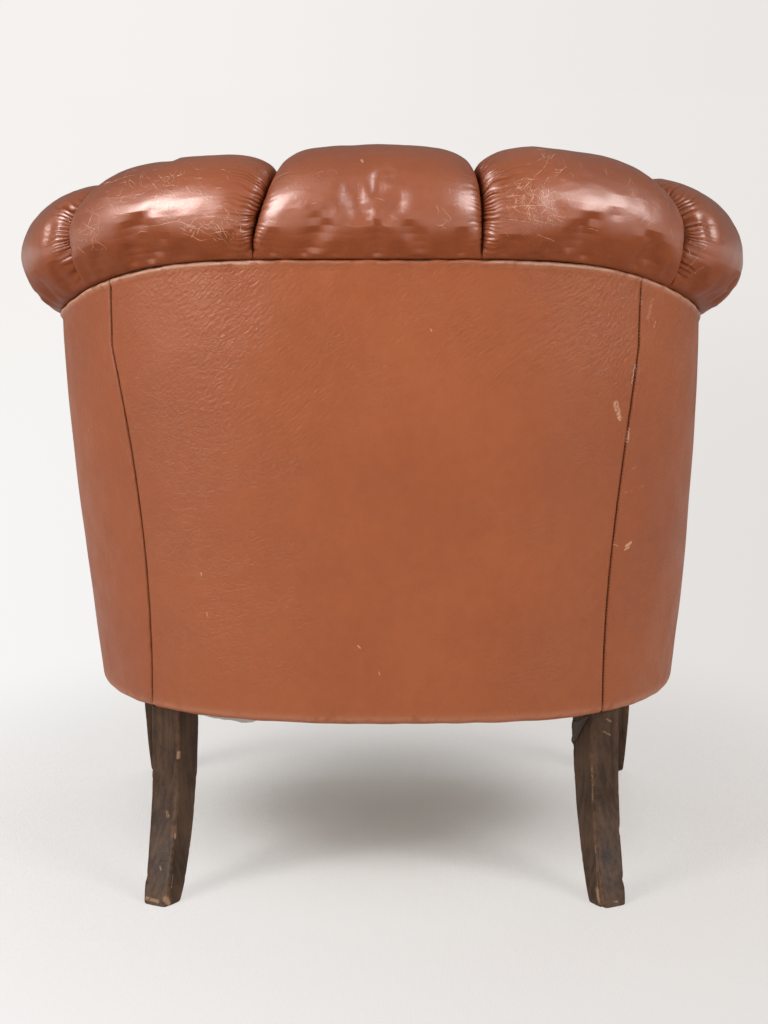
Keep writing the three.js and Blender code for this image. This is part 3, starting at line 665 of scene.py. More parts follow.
# columnPlaces(z) gives the place of every column at a height, fromSeam each one's distance to the nearest seam
def makePanel(name, columnPlaces, fromSeam, seed):
    c = panelChoices
    low, round_ = wall["bottomHeight"], c["hemRound"]
    count = len(fromSeam)
    edgePlaces = columnPlaces(np.full(count, wall["flareHeight"]))
    top = tackHeight(edgePlaces) - layers["gap"]
    bend = np.radians(np.linspace(0, 90, 7))
    hemCurve = [(-round_ + round_ * math.sin(a), low + round_ - round_ * math.cos(a)) for a in bend]
    hemRows = [(-layers["hemWidth"], low), (-round_ - 0.004, low)] + hemCurve
    rowCount = int((wall["tackHeightBack"] - low) / c["rowStep"])
    faceRows = np.linspace(0, 1, rowCount + 1)[1:]
    faceRows = np.concatenate([faceRows[:-1], 1 - np.array([0.0045, 0.003, 0.0015, 0])])
    # Rows round the section: 0 hem, 1 face, 2 top edge, 3 inside
    thick = layers["leather"]
    rows = [(u, z, 0) for u, z in hemRows]
    rows += [(0, mix(low + round_, top - 0.0012, k), 1) for k in faceRows]
    rows += [(-0.0012, top, 2), (-thick, top - 0.0004, 2)]
    rows += [(-thick, mix(top - 0.003, low + thick, k), 3) for k in np.linspace(0, 1, 12)]
    rows += [(-layers["hemWidth"], low + thick, 3)]
    out = np.array([np.full(count, float(row[0])) for row in rows]).T
    z = np.array([row[1] + np.zeros(count) for row in rows]).T
    kinds = np.array([row[2] for row in rows])
    place = np.stack([columnPlaces(z[:, j]) for j in range(z.shape[1])], 1)
    along = distanceOf(place)
    face = (kinds == 1)[None, :] | ((kinds == 0)[None, :] & (out > -round_))
    groove = np.exp(-(fromSeam / c["grooveWidth"]) ** 1.3)[:, None]
    seamHills = noise2(z / 0.011, fromSeam[:, None] / 0.05 + seed, seed + 3)
    puckers = c["pucker"] * seamHills * np.exp(-fromSeam / 0.012)[:, None] * (1 - groove)
    rise = c["unevenness"] * noise2(along / 0.09, z / 0.11, seed, 2) * smooth(fromSeam / 0.03)[:, None]
    belowTop = top[:, None] - z
    beadSize = 0.75 + 0.5 * noise2(along / 0.016, 0, seed + 5)
    bead = c["edgeBead"] * np.exp(-((belowTop - 0.003) / 0.0028) ** 2) * beadSize
    ruffleFade = np.exp(-np.maximum(belowTop, 0) / 0.018)
    ruffle = 0.0006 * noise2(along / 0.014, belowTop / 0.05, seed + 7) * ruffleFade
    out = out + face * (puckers + rise + bead + ruffle - groove * c["grooveDepth"])
    lipWave = noise2(along / 0.017, 0, seed + 9, 2)
    z = z + (kinds >= 1)[None, :] * np.exp(-np.maximum(belowTop, 0) / 0.006) * 0.0013 * lipWave
    z = z + (kinds == 0)[None, :] * 0.0007 * noise2(along / 0.03, 0, seed + 11)
    points = at(place, out, z)
    drop = c["hemDrop"] * smooth(-points[..., 0] / 0.3) * smooth((out + 0.0065) / 0.004)
    points[..., 2] -= drop * (kinds <= 1)[None, :] * np.exp(-np.maximum(z - low, 0) / 0.03)
    obj = loftMesh(name, points)
    shadeSmooth(obj, 60)
    # Painted shade: a dark line in the seam's groove and along the top edge, under the roll
    crease = np.exp(-(fromSeam / 0.0010) ** 2)[:, None] * 0.34 * face
    crease = np.maximum(crease, 0.35 * np.exp(-np.maximum(belowTop, 0) / 0.0012) * (kinds >= 1))
    # Pale lip along the top edge: partly rubbed edge, partly painted highlight, kept faint under the middle
    # roll where its shade falls
    lipOutOfShade = mix(0.15, 1, smooth((np.abs(edgePlaces) - 0.20) / 0.06))[:, None]
    rub = 1.5 * lipOutOfShade * np.exp(-((belowTop - 0.0022) / 0.0022) ** 2) * face
    rub = np.maximum(rub, 0.25 * np.exp(-((z - low - 0.006) / 0.004) ** 2) * face)
    setAttribute(obj, "crease", np.broadcast_to(crease, z.shape))
    setAttribute(obj, "rub", np.broadcast_to(rub, z.shape))
    return obj


def makePanels():
    middleSeam = float(distanceOf((panelSeamAt(seamMiddle, 1) + panelSeamAt(seamMiddle, -1)) / 2))
    fromEdge = spread(2 * middleSeam, panelChoices["step"], nearEdge)
    across = (fromEdge - middleSeam) / middleSeam
    seamDistance = np.minimum(fromEdge, 2 * middleSeam - fromEdge)
    shrink = 1 - layers["gap"] / middleSeam

    def backColumns(z):
        return across * shrink * np.where(across > 0, panelSeamAt(z, 1), panelSeamAt(z, -1))

    panels = {"outside_back": makePanel("panel_back", backColumns, seamDistance, 11)}
    for name, side in sides:
        start = float(distanceOf(panelSeamAt(seamMiddle, side)))
        total = float(lengthTable[-1]) - start
        fromStart = spread(2 * total, panelChoices["step"] * 1.2, nearEdge)
        fromStart = np.append(fromStart[fromStart < total - 0.004], total)
        basePlace = placeOf(start + fromStart)
        fade = 1 - smooth((basePlace - 0.5) / 0.5)

        def armColumns(z):
            moved = (panelSeamAt(z, side) - panelSeamAt(seamMiddle, side)) * fade
            return np.clip(side * (basePlace + moved + layers["gap"] / metresPerPlace), -2, 2)

        panels[f"outside_arm_{name}"] = makePanel(f"panel_arm_{name}", armColumns, fromStart,
            23 if side > 0 else 37)
    return panels


panels = makePanels()
print("outside panels made")

# padded rolls
# Rows: place, radius out, radius up, lift of the middle over the tack line, overhang
rollRows = {
    "centre": [[0, 75, 65, 46, 22], [0.228, 75, 63, 44, 24]],
    "side_left": [[0.228, 73, 61, 42, 26], [0.45, 73, 62, 44, 30], [0.626, 75, 66, 52, 36]],
    "side_right": [[0.208, 73, 63, 42, 26], [0.34, 73, 69, 43, 28], [0.42, 73, 68, 44, 30],
        [0.617, 75, 68, 52, 36]],
    "arm_left": [[0.626, 82, 62, 54, 42], [0.8, 74, 71, 57, 40], [1, 76, 61, 55, 26], [1.3, 69, 60, 50, 15],
        [2, 67, 55, 44, 12]],
    "arm_right": [[0.617, 82, 65, 54, 47], [0.8, 76, 76, 57, 46], [1, 77, 63, 55, 29], [1.3, 69, 60, 50, 15],
        [2, 67, 55, 44, 12]],
}
rollChoices = {
    "seamDropUp": 0.021, "seamDropOut": 0.014, "seamReach": 0.100, "seamPower": 5, "leastPadding": 0.005,
    "channel": 0.012, "footRound": 0.016, "creaseWidth": 0.0012, "lumps": 0.0007, "slack": 0.0004,
    "lowWave": 0.0014,
    "step": 0.0045, "coarseStep": 0.010, "arcEnd": 185.0,
    "pressure": 3.0, "shrink": -0.02, "cap": 0.008, "simFrames": 20,
}
# Ends of the rolls at a seam: how deep and long the gathers are, their spacing, and how the end tucks in
rollEnds = {
    "centre": {"gather": 0.0013, "reach": 0.013, "spacing": 0.0072, "tuck": 0.007, "tuckReach": 0.0028},
    "sideInner": {"gather": 0.0026, "reach": 0.021, "spacing": 0.0058, "tuck": 0.008, "tuckReach": 0.0036},
    "sideOuter": {"gather": 0.0008, "reach": 0.011, "spacing": 0.0090, "tuck": 0.007, "tuckReach": 0.0030},
    "arm": {"gather": 0.0024, "reach": 0.017, "spacing": 0.0066, "tuck": 0.010, "tuckReach": 0.0065},
}
# How many faces each part of a roll's section has, in the piece and in the coarse mesh that is simulated
segmentCounts = {"under": 16, "arc": 290, "inside": 70, "foot": 6, "bottom": 5, "back": 16, "over": 5,
    "down": 6}
coarseCounts = {"under": 3, "arc": 30, "inside": 24, "foot": 2, "bottom": 2, "back": 6, "over": 2, "down": 2}


def rollSizes(rows, place):
    table = np.array(rows, float)
    p = np.clip(np.abs(place), table[0, 0], table[-1, 0])
    return [np.interp(p, table[:, 0], table[:, n]) * mm for n in (1, 2, 3, 4)]


def seamNear(place):
    own = seams[1 if place >= 0 else -1]
    return min(abs(float(distanceOf(abs(place)) - distanceOf(own[kind]))) for kind in ("centre", "arm"))


# The closed section of a roll at a place: arrays of outs, heights and a row number from 0 to 8
def rollSection(rows, place, counts):
    c = rollChoices
    radiusOut, radiusUp, lift, overhang = rollSizes(rows, place)
    near = seamNear(place)
    pull = max(1 - near / c["seamReach"], 0) ** c["seamPower"]
    tack = float(tackHeight(place))
    middle = overhang - radiusOut
    start = -math.degrees(math.asin(min(lift / radiusUp, 1)))
    gap, slip = layers["gap"], layers["slip"]

    def arcPoint(degrees):
        angle = np.radians(degrees)
        hold = np.clip((degrees - start) / 40, 0, 1) * pull
        out = middle + (radiusOut - c["seamDropOut"] * hold) * np.cos(angle)
        up = lift + (radiusUp - c["seamDropUp"] * hold) * np.sin(angle)
        low = up < layers["topRailAboveTack"] + c["leastPadding"]
        return np.where(low, np.maximum(out, gap), out), tack + up

    def shares(part):
        return np.linspace(0, 1, counts[part] + 1)[:-1]

    first = start * 0.72
    u1, z1 = arcPoint(np.array([first]))
    k = shares("under")
    under = (2 * k * (1 - k) * u1 * 0.62 + k * k * u1,
        (1 - k) ** 2 * (tack + gap) + 2 * k * (1 - k) * (tack + gap + 0.0008) + k * k * z1)
    degrees = np.linspace(first, c["arcEnd"], counts["arc"] + 1)[:-1]
    arc = arcPoint(degrees)
    ul, zl = (float(v[0]) for v in arcPoint(np.array([c["arcEnd"]])))
    k = shares("inside")
    corner = (seatPadFace, cushionTop)
    foot = (seatPadFace, deckTop + c["footRound"])
    bent = math.hypot(corner[0] - ul, corner[1] - zl)
    total = bent + corner[1] - foot[1]
    d = k * total
    insideOut = np.where(d < bent, ul + (corner[0] - ul) * d / bent, corner[0])
    insideZ = np.where(d < bent, zl + (corner[1] - zl) * d / bent, corner[1] - (d - bent))
    insideOut = insideOut + c["channel"] * pull * np.sin(np.pi * np.clip(d / bent, 0, 1)) ** 0.8
    soften = np.exp(-((d - bent) / 0.03) ** 2) * 0.004
    inside = (insideOut + soften, insideZ)
    k = shares("foot")
    footArc = (seatPadFace + c["footRound"] / 2 * (1 - np.cos(k * np.pi / 2)),
        foot[1] + (deckTop + gap - foot[1]) * np.sin(k * np.pi / 2))
    k = shares("bottom")
    bottom = (mix(seatPadFace + c["footRound"] / 2, padOuter, k), np.full(len(k), deckTop + gap))
    crown = tack + layers["topRailAboveTack"] + slip
    k = shares("back")
    back = (np.full(len(k), padOuter), mix(deckTop + gap, crown, k))
    k = shares("over")
    over = (mix(padOuter, frameOuter + slip, k), np.full(len(k), crown))
    k = np.linspace(0, 1, counts["down"] + 1)
    down = (np.full(len(k), frameOuter + slip), mix(crown, tack + gap, k))
    parts = [under, arc, inside, footArc, bottom, back, over, down]
    rowNumber = np.concatenate([i + np.arange(len(p[0])) / max(len(p[0]), 1) for i, p in enumerate(parts)])
    outs, heights = (np.concatenate([np.asarray(p[n], float).ravel() for p in parts]) for n in (0, 1))
    return outs, heights, rowNumber


# How far a seam beside the middle roll leans towards the middle over its height, in metres
def seamLean(places, z, rowNumber):
    own = np.where(places > 0, seams[1]["centre"], seams[-1]["centre"])
    most = np.where(places > 0, seams[1]["lean"], seams[-1]["lean"])
    near = np.exp(-((distanceOf(np.abs(places)) - distanceOf(own)) / 0.08) ** 2)
    high = smooth((z - tackHeight(places)[:, None] - 0.01) / 0.085) * smooth((2.6 - rowNumber) / 0.4)[None, :]
    return -np.sign(places)[:, None] * (most * near)[:, None] * high


def rollGrid(rows, places, counts):
    places = np.asarray(places, float)
    sections = [rollSection(rows, p, counts) for p in places]
    out = np.array([s[0] for s in sections])
    z = np.array([s[1] for s in sections])
    leaning = placeOf(distanceOf(places)[:, None] + seamLean(places, z, sections[0][2]))
    return at(leaning, out, z), out, z, sections[0][2]


# Cloth held at the seams, tack line and seat, blown up by its stuffing: how far each point moves
def stuffed(points, held, c):
    obj = loftMesh("stuffing", points)
    group = obj.vertex_groups.new(name="held")
    group.add([int(i) for i in np.flatnonzero(held.ravel())], 1.0, "REPLACE")
    cloth = obj.modifiers.new("cloth", "CLOTH")
    s = cloth.settings
    s.quality, s.mass, s.air_damping = 6, 0.4, 3
    s.tension_stiffness = s.compression_stiffness = 18
    s.shear_stiffness, s.bending_stiffness = 8, 1.5
    s.use_pressure, s.uniform_pressure_force = True, c["pressure"]
    s.shrink_min = c["shrink"]
    s.effector_weights.gravity = 0
    s.vertex_group_mass = "held"
    cloth.collision_settings.use_collision = False
    cloth.point_cache.frame_start, cloth.point_cache.frame_end = 1, c["simFrames"]
    for number in range(1, c["simFrames"] + 1):
        scene.frame_set(number)
    moved = vertexPoints(evaluated(obj).data)[: held.size].reshape(points.shape) - points
    bpy.data.objects.remove(obj)
    scene.frame_set(1)
    size = np.linalg.norm(moved, axis=-1, keepdims=True)
    return moved * np.minimum(1, c["cap"] / np.maximum(size, 1e-9))


# Values known at some positions along one axis of a grid, carried to other positions
def carried(values, known, wanted, axis):
    return np.apply_along_axis(lambda row: np.interp(wanted, known, row), axis, values)


# ends names the seam at each end, or None at the front of an arm
def makeRoll(name, rows, low, high, ends, seed):
    c = rollChoices
    start, end = float(distanceOf(low)), float(distanceOf(high))
    length = end - start
    inner = spread(length, c["step"], nearEdge)
    if not ends[1]:
        inner = inner[: len(inner) - len(nearEdge)]
        inner = np.concatenate([inner[inner < length - 0.013], length - nearFront[::-1]])
    if not ends[0]:
        inner = inner[len(nearEdge):]
        inner = np.concatenate([nearFront, inner[inner > 0.013]])
    inner = np.unique(np.clip(inner, 0.0004, length - 0.0004))
    places = placeOf(start + inner)
    points, out, z, rowNumber = rollGrid(rows, places, segmentCounts)
    coarse = np.linspace(inner[0], inner[-1], max(int(length / c["coarseStep"]), 8))
    coarsePoints, _, _, coarseRows = rollGrid(rows, placeOf(start + coarse), coarseCounts)
    held = np.zeros(coarsePoints.shape[:2], bool)
    held[[0, -1]] = True
    held[:, coarseRows < 0.34] = True
    held[:, coarseRows >= 2.8] = True
    moved = stuffed(coarsePoints, held, c)
    across = carried(moved, coarse, inner, 0)
    points = points + carried(across, coarseRows, rowNumber, 1)
    normals = gridNormals(points)
    forwardX, forwardY = wallNormal(places)
    tangent = np.stack([-forwardY, forwardX, np.zeros(len(places))], -1)[:, None, :]
    inPlane = normals - tangent * np.sum(normals * tangent, axis=-1, keepdims=True)
    inPlane /= np.linalg.norm(inPlane, axis=-1, keepdims=True)
    shown = smooth(rowNumber / 0.9) * smooth((2.95 - rowNumber) / 0.3)
    onArc = smooth((rowNumber - 0.2) / 0.6) * smooth((2.9 - rowNumber) / 0.4)
    girth = np.concatenate([[0], np.cumsum(np.linalg.norm(np.diff(points[len(points) // 2], axis=0), axis=1))])
    s = girth[None, :]
    tuck, folds, valley, crest, nearest = 0, 0, 0, 0, 1.0
    for n, kind in enumerate(ends):
        if not kind:
            continue
        e = rollEnds[kind]
        d = (inner if n == 0 else length - inner)[:, None]
        nearest = np.minimum(nearest, d)
        tuck = tuck - e["tuck"] * np.exp(-(d / e["tuckReach"]) ** 1.2)
        fine = 0.0024 * noise2(s / 0.016 + 40 * n, d / 0.012, seed + 1)
        wander = fine + 0.007 * noise2(s / 0.05 + 40 * n, d / 0.04, seed + 2) * smooth(d / 0.03)
        wave = (s + wander) / e["spacing"] + 0.9 * noise2(s / 0.019 + 40 * n, 0.4, seed + 3)
        number = np.floor(wave)
        own = 0.5 + 0.5 * noise2(number * 0.73 + 3.1 + 40 * n, 0.6, seed + 4)
        uneven = 0.55 + 0.45 * noise2(number * 1.31 + 7, 0.2, seed + 5)
        fall = np.exp(-(d / (e["reach"] * (0.25 + 1.35 * own))) ** 1.6) * smooth(d / 0.0016) * uneven
        fromCrease = np.abs(wave - number - 0.5) * e["spacing"]
        crease = np.exp(-(fromCrease / (c["creaseWidth"] * (1 + d / 0.02))) ** 1.4) * fall
        puff = (1 - np.cos(2 * np.pi * (wave - number))) * -0.5 + 0.5
        folds = folds - e["gather"] * crease + e["gather"] * 0.45 * puff * fall
        valley = np.maximum(valley, crease * min(e["gather"] / 0.003, 1))
        crest = np.maximum(crest, puff * fall * min(e["gather"] / 0.003, 1))
    lumps = c["lumps"] * noise2(inner[:, None] / 0.06, s / 0.07, seed + 8, 2) * smooth(nearest / 0.03)
    slackNoise = np.abs(noise2(inner[:, None] / 0.035, s / 0.018, seed + 10, 2))
    slack = c["slack"] * (0.4 - slackNoise * 1.5) * smooth((nearest - 0.01) / 0.03)
    nearTack = np.exp(-((rowNumber - 0.75) / 0.5) ** 2)[None, :]
    lowWave = c["lowWave"] * noise2(inner[:, None] / 0.016, s / 0.04, seed + 12, 2) * nearTack
    points = points + normals * lowWave[..., None]
    points = points + inPlane * (tuck * (shown * onArc)[None, :])[..., None]
    points = points + normals * ((folds + lumps + slack) * (shown * onArc)[None, :])[..., None]
    obj = loftMesh(name, points)
    shadeSmooth(obj, 60)
    # Painted shade, kept in the crease attribute: darker where the roll faces down, along the gathers' creases
    # and where the roll tucks in at a seam
    undersideShade = 0.26 * smooth((-normals[..., 2] + 0.05) / 0.6) * (rowNumber < 1.9)[None, :]
    crease = np.clip(0.9 * np.exp(-(nearest / 0.0014) ** 1.5) + 0.6 * valley, 0, 1) * shown * onArc
    crease = np.maximum(crease, undersideShade)
    setAttribute(obj, "crease", np.broadcast_to(crease, points.shape[:2]))
    setAttribute(obj, "rub", np.broadcast_to(0.3 * crest * (1 - valley) * shown, points.shape[:2]))
    return obj


low, high = -seams[-1]["centre"], seams[1]["centre"]
rolls = {"back_roll_centre": makeRoll("roll_centre", rollRows["centre"], low, high, ("centre", "centre"), 101)}
for name, side in sides:
    a, b = sorted((side * seams[side]["centre"], side * seams[side]["arm"]))
    rolls[f"back_roll_{name}"] = makeRoll(f"roll_back_{name}", rollRows[f"side_{name}"], a, b,
        ("sideInner", "sideOuter")[::side], 131 if side > 0 else 151)
    a, b = sorted((side * seams[side]["arm"], side * 2))
    rolls[f"arm_roll_{name}"] = makeRoll(f"roll_arm_{name}", rollRows[f"arm_{name}"], a, b,
        ("arm", None)[::side], 171 if side > 0 else 191)
print("padded rolls made:", sum(len(r.data.polygons) for r in rolls.values()), "faces")


# Where the sight line through a point of the photograph first meets the leather
class Surfaces:
    def __init__(self, objects):
        points, faces, first = [], [], 0
        for obj in objects:
            points += [v.co.copy() for v in obj.data.vertices]
            faces += [tuple(first + v for v in p.vertices) for p in obj.data.polygons]
            first = len(points)
        self.tree = BVHTree.FromPolygons(points, faces)

    def hit(self, px, py):
        place, normal, _, _ = self.tree.ray_cast(cameraPlace, sightLine(px, py))
        return place, normal


leatherSurfaces = Surfaces(list(panels.values()) + list(rolls.values()))

# Marks seen in the photograph: the leather they are on, two ends in its pixels, width in mm, break up, strength
wearMarks = [
    ("outside_back", (615.5, 404), (618, 411), 4.8, 0.46, 0.7),
    ("outside_back", (617.5, 411), (620, 419), 3.4, 0.44, 0.75),
    ("outside_arm_right", (627.5, 430), (627, 440), 3.4, 0.43, 0.75),
    ("outside_arm_right", (622, 476), (636, 466.5), 0.9, 0.46, 0.5),
    ("outside_arm_right", (624, 493), (643, 486), 0.9, 0.48, 0.4),
    ("outside_arm_right", (626, 546), (631, 542.5), 2.0, 0.36, 0.8),
    ("outside_arm_right", (625, 549.5), (629, 547), 1.6, 0.36, 0.8),
    ("outside_arm_right", (611.5, 544), (618, 546), 0.9, 0.44, 0.6),
    ("outside_arm_right", (654, 327), (655.5, 321.5), 1.1, 0.4, 0.7),
    ("outside_arm_right", (652, 300), (648, 318), 3.6, 0.5, 0.3),
    ("outside_back", (201, 573), (201.5, 575), 1.2, 0.3, 0.6),
    ("outside_back", (207, 613), (207, 616), 1.0, 0.3, 0.5),
    ("outside_back", (430.5, 329), (431.5, 331), 1.0, 0.3, 0.5),
    ("outside_back", (358, 646), (360, 648), 1.2, 0.3, 0.6),
    ("outside_back", (379, 672), (380, 675), 1.0, 0.3, 0.4),
    ("back_roll_centre", (361.5, 160), (363, 162), 1.4, 0.3, 0.8),
]
crackPlaces = {
    "back_roll_right": [((535, 205), 0.05, 210.0, 0.05, 0.6, 0.55), ((560, 172), 0.035, 150.0, 0.04, 0.5, 0.4)],
    "back_roll_left": [((215, 228), 0.035, 190.0, 0.04, 0.5, 0.4), ((95, 225), 0.03, 150.0, 0.04, 0.5, 0.35),
        ((150, 182), 0.035, 120.0, 0.03, 0.4, 0.3)],
    "back_roll_centre": [((415, 205), 0.035, 140.0, 0.03, 0.35, 0.15)],
    "arm_roll_left": [((60, 225), 0.02, 160.0, 0.04, 0.45, 0.4)],
    "arm_roll_right": [((695, 230), 0.03, 160.0, 0.04, 0.5, 0.4)],
}


# Marks over the photograph's pixels, carried to the surfaces that they are seen on
def marksFound(surfaces, marks):
    found = []
    for first, second, width, breakUp, strength in marks:
        a, b = surfaces.hit(*first)[0], surfaces.hit(*second)[0]
        if a and b:
            found.append((tuple(a), tuple(b), width * mm, breakUp, strength))
    return found


def marksOn(node):
    return marksFound(leatherSurfaces, [mark[1:] for mark in wearMarks if mark[0] == node])


def cracksOn(node):
    found = []
    for middle, reach, scale, line, cover, strength in crackPlaces.get(node, []):
        place = leatherSurfaces.hit(*middle)[0]
        if place:
            found.append((tuple(place), reach, scale, line, cover, strength))
    return found


def finishPiece(obj, slot, *nodes, material=None):
    if material:
        obj.data.materials.clear()
        obj.data.materials.append(material)
    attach(obj, "root")
    if nodes:
        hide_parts(*nodes)


# Fine raised cracks in the finish, as lines over the photograph's pixels
hairlineChoices = {"radius": 0.00025, "wobble": 0.9, "seed": 41}
hairlines = [
    [(88, 198), (114, 198), (140, 194), (155, 186)], [(122, 179), (128, 170), (135, 164)],
    [(96, 190), (119, 179), (145, 172)], [(78, 213), (90, 211), (100, 216), (99, 226), (98, 234), (85, 244)],
    [(88, 239), (101, 244), (109, 252)], [(75, 244), (88, 257)], [(80, 222), (90, 228), (94, 240)],
    [(84, 205), (92, 214), (88, 226), (80, 236)],
    [(127, 229), (156, 226), (176, 221), (192, 226), (208, 234), (226, 231)],
    [(208, 216), (228, 218), (244, 224)], [(156, 172), (166, 182), (179, 169)],
    [(189, 161), (197, 169), (206, 168)], [(150, 178), (157, 190)], [(176, 230), (200, 240), (214, 238)],
    [(212, 226), (222, 238), (228, 244)], [(196, 220), (206, 228), (218, 226)],
    [(232, 208), (240, 216), (248, 214)], [(110, 206), (118, 214), (130, 215)],
    [(551, 153), (545.5, 166), (535, 176.5), (525, 187)], [(561, 156), (566, 166), (558.5, 174), (552, 178)],
    [(579, 158), (582, 169)], [(496, 200), (510, 197), (525, 195), (540, 192)],
    [(504, 208), (525, 205), (545.5, 205), (561, 215)], [(491, 218), (514.5, 220.5), (538, 224)],
    [(525, 208), (535, 220.5), (561, 226)], [(535, 233.5), (547, 238), (558.5, 244)],
    [(628, 176.5), (636, 185.6)], [(659, 187), (667, 200), (670, 213)], [(668, 223), (675, 241)],
    [(685, 269.7), (697, 259), (702, 249)], [(685, 280), (706, 264.5)], [(512, 184), (524, 178), (538, 180)],
    [(530, 186), (534, 197), (528, 206)], [(545, 190), (541, 200), (548, 208)],
    [(508, 190), (516, 199), (514, 210)], [(520, 212), (532, 214), (541, 222)],
    [(550, 213), (560, 221), (566, 222)], [(605, 166), (607, 176)], [(588, 228), (600, 232)],
    [(66, 214), (71, 226), (68, 238)], [(60, 206), (66, 218)], [(690, 226), (700, 222), (708, 228)],
    [(683, 214), (692, 208)], [(388, 214), (400, 222)], [(440, 206), (450, 216), (452, 224)],
]
# Patches of short random ones: middle, reach across and up, count
hairlinePatches = [
    ((530, 202), 34, 22, 46), ((205, 228), 40, 10, 26), ((92, 226), 14, 20, 14), ((165, 178), 50, 12, 14),
    ((550, 168), 20, 12, 10), ((698, 236), 12, 22, 8), ((150, 184), 64, 16, 24), ((185, 204), 56, 14, 16),
    ((228, 222), 20, 12, 14), ((92, 236), 14, 22, 10), ((112, 208), 26, 16, 12), ((640, 200), 30, 24, 10),
    ((330, 190), 60, 30, 8), ((440, 214), 20, 20, 6),
]


def makeHairlines():
    c = hairlineChoices
    rng = np.random.default_rng(c["seed"])
    lines = [list(line) for line in hairlines]
    for (px, py), wide, high, count in hairlinePatches:
        for n in range(count):
            x, y = px + rng.normal() * wide * 0.5, py + rng.normal() * high * 0.5
            turn = rng.normal() * 0.7 + (math.pi if rng.random() < 0.5 else 0)
            line = [(x, y)]
            for step in range(rng.integers(2, 5)):
                turn += rng.normal() * 0.55
                reach = rng.uniform(2.2, 5.5)
                x, y = x + math.cos(turn) * reach, y + math.sin(turn) * reach
                line.append((x, y))
            lines.append(line)
    made = []
    for n, line in enumerate(lines):
        pixels = densePath(line, 1.5)
        wobble = [noise2(pixels[:, 0] / 4, n * 3.7, 411), noise2(pixels[:, 1] / 4, n * 5.3, 413)]
        pixels = pixels + c["wobble"] * np.stack(wobble, 1)
        hits = [leatherSurfaces.hit(*p) for p in pixels]
        points = [place - normal * 0.00008 for place, normal in hits if place]
        if len(points) < 3 or max((a - b).length for a, b in zip(points, points[1:])) > 0.012:
            continue
        taper = np.sin(np.linspace(0.05, np.pi - 0.05, len(points))) ** 0.5
        radius = c["radius"] * taper * (0.75 + 0.4 * noise2(np.arange(len(points)) * 0.7, n * 2.1, 417))
        made.append(tube(f"hairline_{n}", [tuple(p) for p in points], radius, 5))
    return joined("hairline_cracks", made)


hairlineCracks = makeHairlines()
finishPiece(hairlineCracks, "leather", material=leatherMaterial("crackedEdge", "cracked"))
for node, obj in panels.items():
    material = leatherMaterial("leather_" + node, "panel", marksOn(node), cracksOn(node))
    finishPiece(obj, "leather", node, material=material)
for node, obj in rolls.items():
    material = leatherMaterial("leather_" + node, "roll", marksOn(node), cracksOn(node))
    finishPiece(obj, "leather", node, material=material)
print("leather dressed")

# legs
legChoices = {
    "back": {"top": 0.0376, "foot": 0.0312, "turn": 31.4, "sweep": (0.0107, 0.0696), "floor": 0.0},
    "front": {"top": 0.040, "foot": 0.028, "turn": 0.0, "sweep": (-0.004, 0.0),
        "floor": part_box("glide_front_left")[1].z + layers["gap"]},
    "taper": 1.5, "bend": 2.4, "ringCount": 64, "edgeRound": 0.0028, "sideCount": 9, "cornerCount": 5,
    "chipDepth": 0.0022, "unevenness": 0.0005, "footRound": 0.0022,
}


# Points of a rounded square, and how near each lies to a corner
def roundedSquare(half, radius, sideCount, cornerCount):
    points, cornerness = [], []
    for quarter in range(4):
        turn = quarter * math.pi / 2
        local = [(half, mix(-(half - radius), half - radius, k), abs(2 * k - 1) ** 6 * 0.5)
            for k in np.linspace(0, 1, sideCount, endpoint=False)]
        for k in np.linspace(0, 1, cornerCount, endpoint=False):
            a = k * math.pi / 2
            local.append((half - radius + radius * math.cos(a), half - radius + radius * math.sin(a), 1))
        for x, y, near in local:
            points.append((x * math.cos(turn) - y * math.sin(turn), x * math.sin(turn) + y * math.cos(turn)))
            cornerness.append(near)
    return np.array(points), np.array(cornerness)


